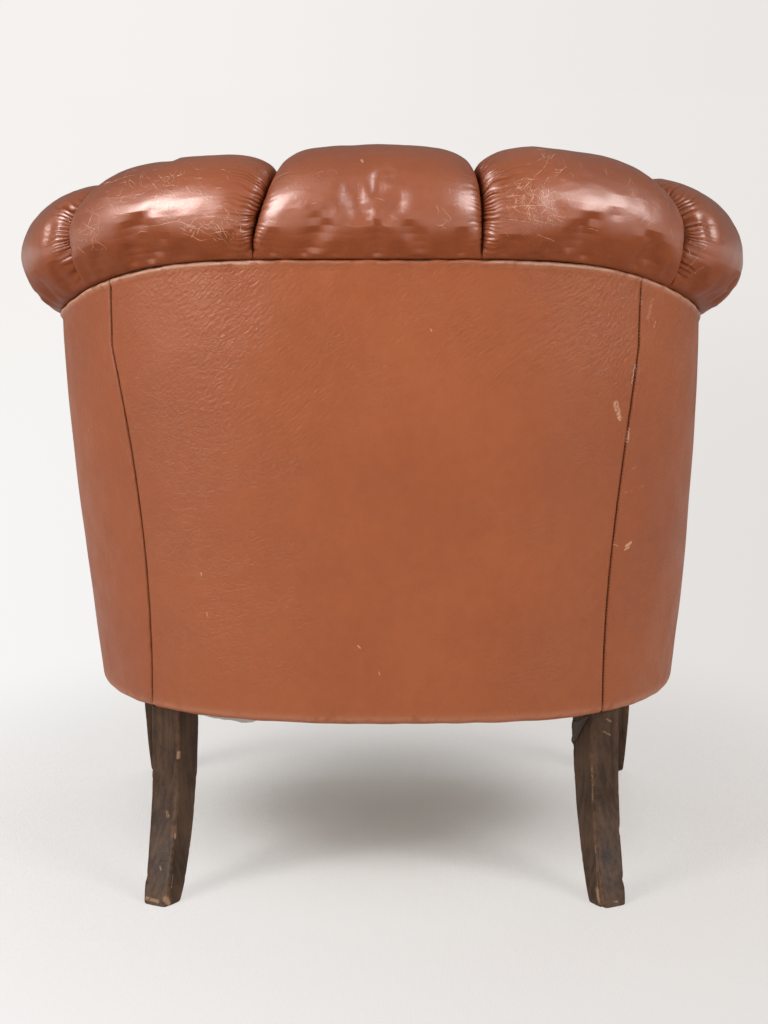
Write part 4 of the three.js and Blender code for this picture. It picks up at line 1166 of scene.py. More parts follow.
def makeLeg(name, head, side, c, seed):
    down = np.concatenate([np.linspace(0, 1, legChoices["ringCount"])[:-1], 1 - np.array([0.006, 0.0025, 0])])
    rings, worn = [], []
    turn = -side * math.radians(c["turn"])
    top = wall["bottomHeight"] - layers["gap"]
    for k in np.sort(down):
        z = mix(top, c["floor"], k)
        half = mix(c["top"], c["foot"], k ** legChoices["taper"]) / 2
        foot = max(1 - (z - c["floor"]) / legChoices["footRound"], 0)
        nearFloor = max(1 - (z - c["floor"]) / 0.018, 0)
        radius = legChoices["edgeRound"] * (1 + 0.35 * float(noise2(z / 0.03, 0, seed)) + 1.2 * nearFloor)
        half -= legChoices["footRound"] * (1 - math.sqrt(max(1 - foot ** 2, 0))) * 0.8
        flat, cornerness = roundedSquare(half, radius, legChoices["sideCount"], legChoices["cornerCount"])
        angle = np.arctan2(flat[:, 1], flat[:, 0])
        ringPlace = np.stack([np.cos(angle) * 0.9, np.sin(angle) * 0.9, np.full(len(angle), z / 0.012)], -1)
        floorWear = 0.35 + 1.6 * max(1 - (z - c["floor"]) / 0.03, 0)
        chips = np.maximum(noise(ringPlace + seed, seed + 1, 2) - 0.28, 0) * floorWear
        chipped = chips * cornerness * legChoices["chipDepth"] * 2.2
        wavePlace = np.stack([np.cos(angle), np.sin(angle), np.full(len(angle), z / 0.05)], -1)
        wave = legChoices["unevenness"] * noise(wavePlace, seed + 2)
        length = np.linalg.norm(flat, axis=1, keepdims=True)
        flat = flat * (1 - (chipped + np.abs(wave))[:, None] / length)
        x = flat[:, 0] * math.cos(turn) - flat[:, 1] * math.sin(turn)
        y = flat[:, 0] * math.sin(turn) + flat[:, 1] * math.cos(turn)
        bend = k ** legChoices["bend"]
        legX, legY = head[0] + side * c["sweep"][0] * bend, head[1] + c["sweep"][1] * bend
        rings.append(np.stack([legX + x, legY + y, np.full(len(x), z)], -1))
        worn.append(np.clip(cornerness * (0.35 + 0.65 * chips / 0.3) + foot * 0.4, 0, 1))
    obj = loftMesh(name, np.array(rings))
    shadeSmooth(obj, 40)
    setAttribute(obj, "worn", np.array(worn))
    return obj


legs = {}
backHeadPlace = -legChoices["back"]["top"] / 2 - 0.006
for name, side in sides:
    head = at(side * wall["backLegAt"], backHeadPlace, wall["bottomHeight"])
    legs[f"leg_back_{name}"] = makeLeg(f"leg_back_{name}_wood", head, side, legChoices["back"],
        211 if side > 0 else 223)
    low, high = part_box(f"leg_front_{name}")
    middle = (low.x if side < 0 else high.x) - side * legChoices["front"]["top"] / 2
    legs[f"leg_front_{name}"] = makeLeg(f"leg_front_{name}_wood",
        (middle, high.y - legChoices["front"]["top"] / 2), side, legChoices["front"], 233 if side > 0 else 241)


# Turns a profile of (radius, height) round an upright line
def turned(name, profile, middle, count=36):
    profile = np.asarray(profile, float)
    angles = np.arange(count) * 2 * np.pi / count
    rings = np.stack([middle[0] + profile[:, :1] * np.cos(angles), middle[1] + profile[:, :1] * np.sin(angles),
        np.repeat(profile[:, 1:], count, 1)], -1)
    obj = loftMesh(name, rings)
    shadeSmooth(obj, 40)
    return obj


glides = {}
for name, side in sides:
    low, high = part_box(f"glide_front_{name}")
    radius, height = (high.x - low.x) / 2, high.z - low.z
    bend = np.radians(np.linspace(0, 90, 10))
    dome = [(radius * (0.10 + 0.90 * math.sin(a)), height * 0.75 * (1 - math.cos(a))) for a in bend]
    glides[f"glide_front_{name}"] = turned(f"glide_{name}",
        dome + [(radius, height * 0.94), (radius * 0.97, height)], ((low.x + high.x) / 2, (low.y + high.y) / 2))
print("legs and glides made")

# sheets over the plan of the seat
plateChoices = {"loopStep": 0.008, "ringCount": 30}


# The edge of a layer in plan at an inset from the outside leather, ended at the front
def planLoop(inset, z, front, cornerRound=0.0):
    distances = np.linspace(-lengthTable[-1], lengthTable[-1],
        int(2 * lengthTable[-1] / plateChoices["loopStep"]))
    edge = at(placeOf(distances), inset, z)
    frontY = wall["frontY"] + yShift + front
    keep = edge[:, 1] > frontY + cornerRound
    edge = edge[keep]
    first, last = edge[0], edge[-1]
    turns = np.linspace(0, np.pi / 2, 7)[1:-1]

    def cornerPoints(p, s):
        inward = [(s * cornerRound * (1 - math.cos(a)), cornerRound * (1 - math.sin(a))) for a in turns]
        return [np.array([p[0] - dx, frontY + dy, z]) for dx, dy in inward]

    if cornerRound > 0:
        closing = cornerPoints(last, np.sign(last[0]))
        opening = cornerPoints(first, np.sign(first[0]))[::-1]
        x0, x1 = closing[-1][0], opening[0][0]
    else:
        closing, opening = [np.array([last[0], frontY, z])], [np.array([first[0], frontY, z])]
        x0, x1 = last[0], first[0]
    count = max(int(abs(x1 - x0) / plateChoices["loopStep"]), 4)
    straight = [np.array([x, frontY, z]) for x in np.linspace(x0, x1, count + 1)[1:-1]]
    return np.array(list(edge) + closing + straight + opening)


# A thin plate inside a plan loop: heightAt(x, y, k) gives its underside, k runs from the middle to the edge
def makePlate(name, loop, heightAt, thickness):
    middle = np.array([0, (loop[:, 1].min() + loop[:, 1].max()) / 2, loop[0, 2]])
    ks = np.concatenate([np.linspace(0.02, 0.95, plateChoices["ringCount"]),
        (0.965, 0.975, 0.982, 0.987, 0.991, 0.995, 0.998, 1)])
    rings = middle + (loop - middle)[None] * ks[:, None, None]
    under = rings.copy()
    under[..., 2] = heightAt(rings[..., 0], rings[..., 1], ks[:, None])
    over = under[::-1].copy()
    over[..., 2] += thickness
    obj = loftMesh(name, np.concatenate([under, over]))
    shadeSmooth(obj, 40)
    return obj, under


dustCoverChoices = {"thickness": 0.0008, "sag": 0.005, "drop": 0.0085, "dropFrom": 0.125, "dropTo": 0.215,
    "wrinkle": 0.0012, "legRoom": 0.034}


def dustCoverHeight(x, y, k):
    c = dustCoverChoices
    base = wall["bottomHeight"] + layers["gap"]
    sag = c["sag"] * (1 - k ** 2) * (0.8 + 0.2 * noise2(x / 0.15, y / 0.15, 301))
    nearBack = smooth((y - (yShift - 0.16)) / 0.10)
    across = smooth((x - c["dropFrom"]) / 0.012) * smooth((c["dropTo"] - x) / 0.010)
    ragged = 0.85 + 0.3 * noise2(x / 0.009, y / 0.02, 303, 2)
    drop = c["drop"] * across * nearBack * k ** 3 * smooth((1 - k) / 0.012) * ragged
    wrinkle = c["wrinkle"] * noise2(x / 0.03, y / 0.03, 305, 2) * (1 - 0.5 * k)
    room = 1
    for leg in legs.values():
        top = vertexPoints(leg.data)[:40].mean(axis=0)
        room = room * smooth((np.hypot(x - top[0], y - top[1]) - c["legRoom"] + 0.012) / 0.012)
    return base - (sag + drop + np.abs(wrinkle)) * room


dustLoop = planLoop(-layers["hemWidth"] - layers["gap"], wall["bottomHeight"], layers["frame"] / 2)
dustCover, dustRings = makePlate("underside_cloth", dustLoop, dustCoverHeight, dustCoverChoices["thickness"])
deckLoop = planLoop(padOuter - 0.001, deckTop, layers["gap"])
deckThickness = layers["leather"]


def deckHeight(x, y, k):
    return deckTop - deckThickness - 0.0008 * (1 - k)


seatDeck = makePlate("deck_leather", deckLoop, deckHeight, deckThickness)[0]
print("cloth under the seat and deck made")

# seat cushion
cushionChoices = {
    "clearance": layers["cushionClearance"] + 0.001, "crown": 0.010, "side": 0.004, "edgeRound": 0.010,
    "frontRound": 0.030, "welt": 0.0032, "pressure": 2.6, "shrink": -0.015, "cap": 0.012, "simFrames": 20,
    "sideRows": 16, "topRows": 34, "wrinkle": 0.0012, "sit": 0.006,
}


def loopInset(loop, inset):
    forwardStep = np.roll(loop, -1, 0) - np.roll(loop, 1, 0)
    normal = np.stack([forwardStep[:, 1], -forwardStep[:, 0], np.zeros(len(loop))], -1)
    normal /= np.linalg.norm(normal, axis=1, keepdims=True)
    outside = np.sum(normal * (loop - loop.mean(axis=0))) > 0
    return loop - normal * (inset if outside else -inset)


def makeCushion():
    c = cushionChoices
    loop = planLoop(seatPadFace - c["clearance"], 0, 0.001, c["frontRound"])
    bottom, top = cushionBottom + 0.0012, cushionTop - c["crown"]
    middle = np.array([0, (loop[:, 1].min() + loop[:, 1].max()) / 2, 0])
    # Rows from the middle of the underside to the middle of the top:
    # share of the plan, inset, height and kind (0 under, 1 lower edge, 2 side, 3 upper edge, 4 top)
    rows = []
    edge = c["edgeRound"]
    for k in np.linspace(0.06, 0.95, c["topRows"] // 2):
        rows.append((k, 0, bottom, 0))
    bend = np.radians(np.linspace(0, 90, 5))
    for a in bend:
        rows.append((1, edge * (1 - math.sin(a)) + c["side"], bottom + edge * (1 - math.cos(a)), 1))
    for k in np.linspace(0, 1, c["sideRows"])[1:-1]:
        rows.append((1, c["side"] * (1 - math.sin(math.pi * k)), mix(bottom + edge, top - edge, k), 2))
    for a in bend[::-1]:
        rows.append((1, edge * (1 - math.sin(a)) + c["side"], top - edge * (1 - math.cos(a)), 3))
    for k in np.linspace(0.95, 0.06, c["topRows"]):
        rows.append((k, 0, top + c["crown"] * (1 - k ** 3), 4))
    rings = []
    for k, inset, z, _ in rows:
        ring = loopInset(loop, inset) if k == 1 else middle + (loopInset(loop, edge + c["side"]) - middle) * k
        ring = ring.copy()
        ring[:, 2] = z
        rings.append(ring)
    points, kinds = np.array(rings), np.array([row[3] for row in rows])
    coarse = slice(None, None, 2)
    small = points[:, coarse]
    held = np.zeros(small.shape[:2], bool)
    held[kinds <= 1] = True
    held[np.flatnonzero(kinds == 3)[2]] = True
    moved = stuffed(small, held, c)
    count = points.shape[1]
    positions = np.arange(count)
    known = np.arange(0, count, 2)
    for n in range(3):
        for i in range(len(points)):
            points[i, :, n] += np.interp(positions, known, moved[i, :, n], period=count)
    across = points[..., 0] / 0.11
    deep = points[..., 1] / 0.11
    k = np.array([r[0] for r in rows])[:, None]
    onTop = (kinds == 4)[:, None]
    sat = np.exp(-((points[..., 0] / 0.16) ** 2 + ((points[..., 1] + 0.10) / 0.17) ** 2))
    wrinkles = c["wrinkle"] * noise2(across * 3, deep * 3, 311, 3) * (1 - k ** 8)
    points[..., 2] += onTop * (-c["sit"] * sat + wrinkles)
    points[..., 2] = np.maximum(points[..., 2], cushionBottom + 0.0006)
    points[..., 2] = np.minimum(points[..., 2], cushionTop + 0.012)
    obj = loftMesh("cushion_leather", points)
    shadeSmooth(obj, 60)
    rub = np.where((kinds == 3)[:, None], 0.35, 0.0)
    setAttribute(obj, "crease", np.zeros(points.shape[:2]))
    setAttribute(obj, "rub", np.maximum(rub, onTop * 0.45 * sat))
    welts = []
    for kind, rise in ((1, -0.0004), (3, 0.0008)):
        ring = points[np.flatnonzero(kinds == kind)[2]].copy()
        outward = loopInset(ring, -0.0014) - ring
        welts.append(tube(f"welt_{kind}", ring + outward + np.array([0, 0, rise]), c["welt"], 10, True))
    return obj, joined("cushion_welts", welts)


cushion, cushionWelts = makeCushion()
evenWear(cushionWelts, 0.35)
print("seat cushion made")

# arm facings and front border
facingChoices = {"depth": 0.008, "puff": 0.0035, "edge": 0.0028, "ringCount": 22, "welt": 0.0026,
    "borderDepth": 0.006, "borderPuff": 0.003}


# The arm's end seen from the front: (out, height) round the roll, the inside and the wall
def facingOutline():
    out, z, rowNumber = rollSection(rollRows["arm_left"], 2.0, segmentCounts)
    shown = rowNumber < 3.0
    low = wall["bottomHeight"]
    tack = float(tackHeight(2.0))
    corners = [(0.0, low), (0.0, tack)] + list(zip(out[shown], z[shown]))
    corners += [(seatPadFace, deckTop), (seatPadFace, low), (0.0, low)]
    return densePath(corners, 0.004)[:-1]


def makeFacing(name, side, seed):
    c = facingChoices
    outline = facingOutline()
    spineX = outline[:, 0].mean()
    low, high = outline[:, 1].min(), outline[:, 1].max()
    spine = np.stack([np.full(len(outline), spineX), np.clip(outline[:, 1], low + 0.035, high - 0.055)], 1)
    frontY = wall["frontY"] + yShift
    rings = []

    def ring(k, y):
        flat = mix(outline, spine, k)
        points = at(side * 2.0 + np.zeros(len(flat)), flat[:, 0], flat[:, 1])
        points[:, 1] = y
        return points

    rings.append(ring(0, frontY - layers["gap"]))
    for a in np.radians(np.linspace(0, 90, 6)):
        rings.append(ring((1 - math.cos(a)) * c["edge"] / 0.04,
            frontY - c["depth"] + c["puff"] + c["edge"] * (1 - math.sin(a))))
    for k in np.linspace(0.08, 0.96, c["ringCount"]):
        rise = c["puff"] * math.sin(min(k * 2.2, 1) * math.pi / 2)
        points = ring(k, frontY - c["depth"] + c["puff"])
        points[:, 1] -= rise + 0.0007 * noise2(points[:, 0] / 0.03, points[:, 2] / 0.03, seed, 2)
        rings.append(points)
    obj = loftMesh(name, np.array(rings))
    shadeSmooth(obj, 60)
    welt = ring(0.03, frontY - c["depth"] + c["puff"] + 0.0006)
    bead = tube(name + "_welt", welt, c["welt"], 10, True)
    evenWear(obj)
    evenWear(bead, 0.25)
    return joined(name, [obj, bead])


facings = {}
for name, side in sides:
    facings[f"arm_facing_{name}"] = makeFacing(f"facing_{name}", side, 321 if side > 0 else 331)


def makeBorder():
    c = facingChoices
    low, high = wall["bottomHeight"], deckTop
    columns, rows = 90, 22
    frontY = wall["frontY"] + yShift
    front, back = [], []
    for i, k in enumerate(np.linspace(0, 1, columns)):
        z = np.linspace(low, high, rows)
        halfWide = wallPoint(2.0, z)[0] + seatPadFace - layers["gap"]
        x = mix(-halfWide, halfWide, k)
        v = (z - low) / (high - low)
        fromEnd = np.minimum(1, np.minimum(k, 1 - k) * 14)
        rise = c["borderPuff"] * (fromEnd * np.sin(np.pi * np.clip(v, 0.0, 1)) ** 0.35)
        rise = rise + 0.0006 * noise2(x / 0.04, z / 0.03, 341, 2)
        y = frontY - (c["borderDepth"] - c["borderPuff"]) - np.maximum(rise, 0)
        front.append(np.stack([x, y, z], -1))
        back.append(np.stack([x, np.full(rows, frontY - 0.0002), z], -1)[::-1])
    obj = loftMesh("border_front", np.concatenate([np.array(front), np.array(back)], 1))
    shadeSmooth(obj, 60)
    evenWear(obj)
    return obj


border = makeBorder()
print("facings and border made")

# stitches along the two slanting seams of the back, by Geometry Nodes
stitchChoices = {"spacing": 0.0037, "length": 0.0022, "radius": 0.00062, "sink": -0.0003, "offSeam": 0.0002}


def makeStitchTree(material):
    tree = bpy.data.node_groups.new("seamStitches", "GeometryNodeTree")
    face = tree.interface
    face.new_socket("Geometry", in_out="INPUT", socket_type="NodeSocketGeometry")
    for socketName, value in (("Spacing", 0.0035), ("Length", 0.002), ("Radius", 0.0004)):
        face.new_socket(socketName, in_out="INPUT", socket_type="NodeSocketFloat").default_value = value
    face.new_socket("Geometry", in_out="OUTPUT", socket_type="NodeSocketGeometry")
    get, out = tree.nodes.new("NodeGroupInput").outputs, tree.nodes.new("NodeGroupOutput")
    curve = addNode(tree, "GeometryNodeMeshToCurve", {"Mesh": get["Geometry"]})
    even = addNode(tree, "GeometryNodeResampleCurve", {"Curve": curve.outputs[0], "Length": get["Spacing"]},
        mode="LENGTH")
    ball = addNode(tree, "GeometryNodeMeshUVSphere", {"Segments": 8, "Rings": 6, "Radius": 1.0})
    tangent = tree.nodes.new("GeometryNodeInputTangent")
    turn = addNode(tree, "FunctionNodeAlignRotationToVector", {"Vector": tangent.outputs[0]}, axis="Z")
    size = addNode(tree, "ShaderNodeCombineXYZ",
        {0: get["Radius"], 1: get["Radius"], 2: calc(tree, "MULTIPLY", get["Length"], 0.5)})
    placed = addNode(tree, "GeometryNodeInstanceOnPoints",
        {"Points": even.outputs[0], "Instance": ball.outputs["Mesh"], "Rotation": turn.outputs[0],
            "Scale": size.outputs[0]})
    real = addNode(tree, "GeometryNodeRealizeInstances", {"Geometry": placed.outputs[0]})
    done = addNode(tree, "GeometryNodeSetMaterial", {"Geometry": real.outputs[0], "Material": material})
    tree.links.new(done.outputs[0], out.inputs[0])
    return tree


def stitched(name, path, tree, c):
    mesh = bpy.data.meshes.new(name)
    mesh.from_pydata([tuple(p) for p in path], [(i, i + 1) for i in range(len(path) - 1)], [])
    obj = bpy.data.objects.new(name, mesh)
    scene.collection.objects.link(obj)
    modifier = obj.modifiers.new("stitches", "NODES")
    modifier.node_group = tree
    for item in tree.interface.items_tree:
        if item.in_out == "INPUT" and item.name in ("Spacing", "Length", "Radius"):
            modifier[item.identifier] = c[item.name.lower()]
    applyModifiers(obj)
    obj.data.polygons.foreach_set("use_smooth", [True] * len(obj.data.polygons))
    return obj


def threadMaterial(name, dark, light):
    material, tree, shader, place = newMaterial(name)
    color = blendColor(tree, noiseNode(tree, place, 900.0, 2.0), dark, light)
    tree.links.new(color, shader.inputs["Base Color"])
    shader.inputs["Roughness"].default_value = 0.8
    twist = addNode(tree, "ShaderNodeTexWave", {"Vector": place, "Scale": 900.0, "Distortion": 2.0})
    bump(tree, shader, twist.outputs["Fac"], 0.0001, 0.6)
    return material


seamThread = threadMaterial("seamThread", (0.016, 0.006, 0.004, 1), (0.040, 0.014, 0.009, 1))
paleThread = threadMaterial("paleThread", (0.50, 0.38, 0.28, 1), (0.68, 0.56, 0.44, 1))
brownThread = threadMaterial("brownThread", (0.110, 0.034, 0.014, 1), (0.190, 0.060, 0.024, 1))
stitchTrees = {"left": makeStitchTree(brownThread), "right": makeStitchTree(seamThread)}
stitchPieces = []
for name, side in sides:
    z = np.linspace(wall["bottomHeight"] + 0.012, 0.66, 300)
    place = side * panelSeamAt(z, side)
    z = z[z < tackHeight(place) - 0.004]
    place = side * (panelSeamAt(z, side) - stitchChoices["offSeam"] / metresPerPlace)
    stitchPieces.append(stitched(f"stitches_{name}", at(place, stitchChoices["sink"], z), stitchTrees[name],
        stitchChoices))
# Loose ends of thread, as lines over the photograph's pixels
threadLines = [
    ((634.5, 364), (634.0, 367), (632.4, 371), (632.8, 375), (631.5, 378)),
    ((634.5, 366), (635.8, 369), (635.2, 372)),
    ((632.8, 379), (631.0, 382), (631.6, 384)),
]
threads = []
for n, path in enumerate(threadLines):
    found = [leatherSurfaces.hit(*p) for p in path]
    line = densePath([tuple(p + normal * 0.0007) for p, normal in found], 0.0012)
    threads.append(tube(f"thread_{n}", line, 0.00033, 6))
threads = joined("loose_threads", threads)
print("stitches made")

# a torn scrap of old cover stuck to the head of the right back leg
scrapChoices = {"thickness": 0.0004, "across": 26, "down": 34, "wrinkle": 0.0011, "lift": 0.0009}


def makeScrap():
    c = scrapChoices
    leg = Surfaces([legs["leg_back_right"]])
    front, back = [], []
    for i in range(c["across"]):
        u = i / (c["across"] - 1)
        column, flat = [], []
        for j in range(c["down"]):
            v = j / (c["down"] - 1)
            ragged = 1 + 0.06 * float(noise2(u * 5, v * 5, 351, 2))
            px = 572.5 + 17 * u * ragged - 5.0 * v * u
            py = 719.5 + (24 - 16 * u) * v * ragged + 2.5 * math.sin(u * 5)
            place, normal = leg.hit(px, py)
            while not place and py < 760:
                px, py = mix(px, 588, 0.1), py + 0.3
                place, normal = leg.hit(px, py)
            fold = abs(math.sin((u * 1.1 + v * 0.9) * 6.0 + float(noise2(u * 3, v * 3, 353)) * 2))
            column.append(place + normal * (c["lift"] + c["wrinkle"] * fold))
            flat.append(normal * c["thickness"])
        front.append([tuple(p) for p in column])
        back.append([tuple(p - n) for p, n in zip(column, flat)][::-1])
    front, back = np.array(front), np.array(back)
    obj = loftMesh("leg_scrap", np.concatenate([front, back], 1))
    shadeSmooth(obj, 50)
    return obj, front


scrap, scrapFront = makeScrap()

# finishes for the wood, cloth and steel
woodChoices = {
    "legs": {"dark": (0.034, 0.020, 0.013, 1), "light": (0.112, 0.064, 0.040, 1),
        "worn": (0.26, 0.12, 0.055, 1), "pale": (0.40, 0.25, 0.14, 1)},
    "frame": {"dark": (0.36, 0.22, 0.10, 1), "light": (0.56, 0.40, 0.22, 1)},
}
# Marks on the back legs: two ends in the photograph's pixels, width in mm, break up, strength
legMarks = {
    "leg_back_left": [
        ((179, 753), (178.5, 757), 3.2, 0.3, 0.9), ((167, 812), (168, 816), 3.0, 0.42, 0.6),
        ((175, 834), (175.5, 838), 1.6, 0.35, 0.8), ((160, 866), (161, 870), 0.9, 0.4, 0.7),
        ((173, 875), (171.5, 888), 0.9, 0.42, 0.8), ((146, 898), (158, 901.5), 2.4, 0.42, 0.9),
        ((165.5, 899), (168, 903), 4.2, 0.36, 0.8), ((171, 900), (182, 896), 1.6, 0.46, 0.7),
    ],
    "leg_back_right": [
        ((606.5, 719), (611, 721.5), 1.4, 0.4, 0.7), ((603.5, 731.5), (610, 735), 1.2, 0.42, 0.7),
        ((620.5, 731), (621.5, 734), 1.2, 0.4, 0.7), ((592, 768), (592.5, 800), 1.1, 0.46, 0.5),
        ((595, 846), (597.5, 888), 1.0, 0.47, 0.55), ((597, 889), (599, 901), 3.0, 0.38, 0.9),
        ((600, 904), (617, 901.5), 1.3, 0.42, 0.9), ((585, 893), (592, 902), 1.4, 0.44, 0.7),
    ],
}
legSurfaces = Surfaces([legs["leg_back_left"], legs["leg_back_right"]])


def legMaterial(name, marks):
    c = woodChoices["legs"]
    material, tree, shader, place = newMaterial(name)
    grain = useGroup(tree, woodGroup, {"Place": place, "Stretch": (1.0, 1.0, 0.07), "Scale": 160.0})
    large = noiseNode(tree, place, 22.0, 4.0, 0.6)
    tone = calc(tree, "MULTIPLY_ADD", large, 0.6, calc(tree, "MULTIPLY", grain["Streaks"], 0.6))
    color = blendColor(tree, ramp(tree, tone, 0.38, 0.80), c["dark"], c["light"])
    color = blendColor(tree, calc(tree, "MULTIPLY", grain["Pores"], 0.6), color, (0.012, 0.008, 0.007, 1))
    rubbed = calc(tree, "MULTIPLY", attributeValue(tree, "worn"),
        ramp(tree, noiseNode(tree, place, 160.0, 4.0, 0.65), 0.42, 0.60))
    color = blendColor(tree, calc(tree, "MULTIPLY", rubbed, 0.55), color, c["worn"])
    shader.inputs["Specular IOR Level"].default_value = 0.10
    roughness = calc(tree, "MULTIPLY_ADD", rubbed, 0.25, ramp(tree, large, 0.3, 0.7, 0.38, 0.52))
    height = calc(tree, "MULTIPLY_ADD", grain["Streaks"], 0.5, calc(tree, "MULTIPLY", grain["Pores"], -0.5))
    pale = paleMask(tree, place, marks)
    if pale is not None:
        color = blendColor(tree, calc(tree, "MULTIPLY", pale, 0.8), color, c["pale"])
    tree.links.new(color, shader.inputs["Base Color"])
    tree.links.new(roughness, shader.inputs["Roughness"])
    bump(tree, shader, height, 0.0003, 0.7)
    return material


def frameWoodMaterial():
    c = woodChoices["frame"]
    material, tree, shader, place = newMaterial("frameWood")
    grain = useGroup(tree, woodGroup, {"Place": place, "Stretch": (0.08, 1.0, 1.0), "Scale": 90.0})
    tone = calc(tree, "SUBTRACT", grain["Streaks"], calc(tree, "MULTIPLY", grain["Pores"], 0.3))
    tree.links.new(blendColor(tree, tone, c["dark"], c["light"]), shader.inputs["Base Color"])
    shader.inputs["Roughness"].default_value = 0.7
    bump(tree, shader, grain["Streaks"], 0.0003, 0.6)
    return material


def clothMaterial(name, dark, light, threadsPerMetre):
    material, tree, shader, place = newMaterial(name)
    weave = useGroup(tree, weaveGroup, {"Place": place, "Threads": threadsPerMetre})
    stain = noiseNode(tree, place, 14.0, 4.0, 0.6)
    tone = calc(tree, "MULTIPLY_ADD", weave["Height"], 0.5, calc(tree, "MULTIPLY", stain, 0.5))
    tree.links.new(blendColor(tree, tone, dark, light), shader.inputs["Base Color"])
    shader.inputs["Roughness"].default_value = 0.95
    bump(tree, shader, weave["Height"], 0.0004, 0.7)
    return material


def waddingMaterial():
    material, tree, shader, place = newMaterial("wadding")
    fibres = noiseNode(tree, warped(tree, place, 40.0, 0.03), 320.0, 6.0, 0.7)
    tree.links.new(blendColor(tree, fibres, (0.42, 0.35, 0.25, 1), (0.72, 0.66, 0.55, 1)),
        shader.inputs["Base Color"])
    shader.inputs["Roughness"].default_value = 1.0
    bump(tree, shader, fibres, 0.001, 0.8)
    return material


def steelMaterial():
    material, tree, shader, place = newMaterial("dullSteel")
    spots = ramp(tree, noiseNode(tree, place, 260.0, 4.0, 0.6), 0.52, 0.66)
    tree.links.new(blendColor(tree, spots, (0.42, 0.42, 0.43, 1), (0.20, 0.13, 0.09, 1)),
        shader.inputs["Base Color"])
    tree.links.new(calc(tree, "MULTIPLY_ADD", spots, -0.5, 0.95), shader.inputs["Metallic"])
    tree.links.new(calc(tree, "MULTIPLY_ADD", spots, 0.4, 0.32), shader.inputs["Roughness"])
    bump(tree, shader, spots, 0.0001, 0.6)
    return material


slotMaterials = {
    "frame_wood": frameWoodMaterial(),
    "jute": clothMaterial("jute", (0.22, 0.14, 0.06, 1), (0.48, 0.34, 0.18, 1), 1900.0),
    "cotton": clothMaterial("paleCotton", (0.46, 0.42, 0.37, 1), (0.74, 0.71, 0.66, 1), 3600.0),
    "wadding": waddingMaterial(),
    "steel": steelMaterial(),
}
greyCloth = clothMaterial("greyScrap", (0.060, 0.042, 0.034, 1), (0.150, 0.115, 0.098, 1), 3200.0)
for node, obj in legs.items():
    marks = marksFound(legSurfaces, legMarks.get(node, []))
    finishPiece(obj, "dark_wood", node, material=legMaterial("wood_" + node, marks))
for node, obj in glides.items():
    finishPiece(obj, "steel", node, material=slotMaterials["steel"])
finishPiece(dustCover, "cotton", "dust_cover", material=slotMaterials["cotton"])
finishPiece(seatDeck, "leather", "seat_deck", material=leatherMaterial("leather_deck", "panel"))
finishPiece(cushion, "leather", "seat_cushion", material=leatherMaterial("leather_cushion", "roll"))
finishPiece(cushionWelts, "leather", material=leatherMaterial("leather_welts", "panel"))
for node, obj in facings.items():
    finishPiece(obj, "leather", node, material=leatherMaterial("leather_" + node, "panel"))
finishPiece(border, "leather", "front_border", material=leatherMaterial("leather_border", "panel"))
for obj in stitchPieces:
    finishPiece(obj, "leather")
finishPiece(threads, "cotton", material=paleThread)
finishPiece(scrap, "cotton", material=greyCloth)


for node, obj in frame["nodes"].items():
    slotName = next(part["material_slot"] for part in frame["record"]["subparts"] if part["node"] == node)
    if slotName in slotMaterials and not obj.hide_render:
        obj.data.materials.clear()
        obj.data.materials.append(slotMaterials[slotName])
print("wood, cloth and steel dressed")


# Floor, world and lamps; each lamp is (place, size, watts, the kind of ray that it lights)
stageChoices = {
    # nearLeft to farRight: the colours the floor and backdrop glow with, darker on the -x side as painted shade
    # from the weaker lamp there
    "floor": (0.95, 0.915, 0.885, 1), "nearLeft": (0.93, 0.915, 0.898, 1),
    "nearRight": (0.775, 0.742, 0.718, 1),
    "farLeft": (0.915, 0.888, 0.865, 1), "farRight": (0.835, 0.8, 0.775, 1), "world": 0.17,
    "aim": (0, 0.1, 0.45),
    "lamps": {
        "left": ((2.05, 1.95, 1.95), (1.3, 1.7), 63, "diffuse"),
        "right": ((-2.05, 1.95, 1.95), (1.3, 1.7), 47, "diffuse"),
        "front": ((-0.3, -1.7, 2.5), (1.6, 1.6), 15, "diffuse"),
        "leftSheen": ((2.3, 1.75, 1.9), (1.9, 1.7), 125, "glossy"),
        "rightSheen": ((-2.45, 1.5, 1.9), (1.8, 1.6), 76, "glossy"),
    },
}


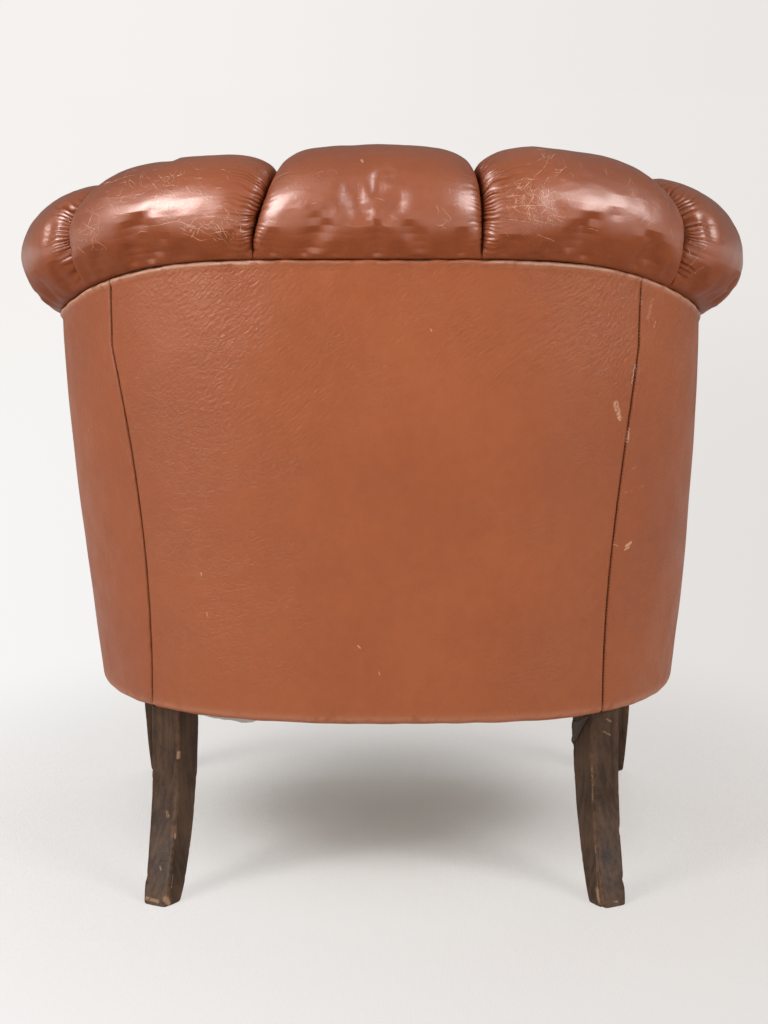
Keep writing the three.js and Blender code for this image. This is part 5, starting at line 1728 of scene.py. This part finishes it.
def makeFloor(c):
    floor = newMesh("floor", [(-30, -30, 0), (30, -30, 0), (30, 30, 0), (-30, 30, 0)], [(0, 1, 2, 3)])
    material, tree, shader, place = newMaterial("linenFloor")
    weave = useGroup(tree, weaveGroup, {"Place": place, "Threads": 2600.0})
    folds = noiseNode(tree, warped(tree, place, 2.0, 0.2), 3.0, 5.0, 0.6)
    color = blendColor(tree, calc(tree, "MULTIPLY", weave["Slubs"], 0.12), c["floor"], (0.70, 0.68, 0.65, 1))
    tree.links.new(color, shader.inputs["Base Color"])
    shader.inputs["Roughness"].default_value = 0.95
    shader.inputs["Specular IOR Level"].default_value = 0.1
    bump(tree, shader, calc(tree, "MULTIPLY_ADD", folds, 6.0, weave["Height"]), 0.0006, 0.5)
    parts = addNode(tree, "ShaderNodeSeparateXYZ", {0: place}).outputs
    # Painted light and shade: the floor glows for the camera and at half strength in reflections, darker
    # towards -x, fading out near the chair where its real shadow shows
    aside = ramp(tree, calc(tree, "DIVIDE", parts[0], calc(tree, "ADD", calc(tree, "ABSOLUTE", parts[1]), 3.0)),
        -0.16, 0.16)
    shadePlace = vectorMath(tree, "MULTIPLY_ADD", {0: place, 1: (1.0, 0.75, 1.0), 2: (0.0, 0.09, 0.0)})
    distance = vectorMath(tree, "LENGTH", {0: shadePlace}, "Value")
    farColor = blendColor(tree, aside, c["farRight"], c["farLeft"])
    nearColor = blendColor(tree, aside, c["nearRight"], c["nearLeft"])
    glow = addNode(tree, "ShaderNodeEmission",
        {"Color": blendColor(tree, ramp(tree, distance, 1.5, 6.0), nearColor, farColor), "Strength": 1.0})
    light = tree.nodes.new("ShaderNodeLightPath").outputs
    seen = calc(tree, "MAXIMUM", light["Is Camera Ray"], calc(tree, "MULTIPLY", light["Is Glossy Ray"], 0.5))
    fade = calc(tree, "ADD", ramp(tree, distance, 0.08, 0.36, 0.0, 0.66),
        ramp(tree, distance, 0.34, 0.8, 0.0, 0.34))
    fade = calc(tree, "MULTIPLY", fade, seen)
    both = addNode(tree, "ShaderNodeMixShader", {0: fade, 1: shader.outputs[0], 2: glow.outputs[0]})
    tree.links.new(both.outputs[0], tree.nodes["Material Output"].inputs["Surface"])
    floor.data.materials.append(material)


def makeLight(c):
    world = bpy.data.worlds.new("world")
    scene.world = world
    world.use_nodes = True
    tree = world.node_tree
    background = tree.nodes["Background"]
    background.inputs["Color"].default_value = (1.0, 0.985, 0.965, 1)
    background.inputs["Strength"].default_value = c["world"]
    direction = addNode(tree, "ShaderNodeSeparateXYZ",
        {0: tree.nodes.new("ShaderNodeTexCoord").outputs["Generated"]}).outputs
    # Painted shade: the backdrop that the camera sees is darker on the -x side, where the weaker lamp is
    seenColor = blendColor(tree, ramp(tree, direction[0], -0.13, 0.13), c["farRight"], c["farLeft"])
    seenBackground = addNode(tree, "ShaderNodeBackground", {"Color": seenColor, "Strength": 1.0})
    light = tree.nodes.new("ShaderNodeLightPath").outputs
    seen = calc(tree, "MAXIMUM", light["Is Camera Ray"], light["Is Transmission Ray"])
    both = addNode(tree, "ShaderNodeMixShader",
        {0: seen, 1: background.outputs[0], 2: seenBackground.outputs[0]})
    tree.links.new(both.outputs[0], tree.nodes["World Output"].inputs["Surface"])
    for name, (place, size, power, purpose) in c["lamps"].items():
        lamp = bpy.data.lights.new("lamp_" + name, "AREA")
        lamp.shape = "RECTANGLE"
        lamp.size, lamp.size_y = size
        lamp.energy = power
        obj = bpy.data.objects.new("lamp_" + name, lamp)
        obj.visible_diffuse, obj.visible_glossy = purpose == "diffuse", purpose == "glossy"
        place = Vector(place)
        turn = (Vector(c["aim"]) - place).to_track_quat("-Z", "Y")
        obj.matrix_world = Matrix.Translation(place) @ turn.to_matrix().to_4x4()
        scene.collection.objects.link(obj)


makeFloor(stageChoices)
makeLight(stageChoices)
print("floor, world and lamps made")
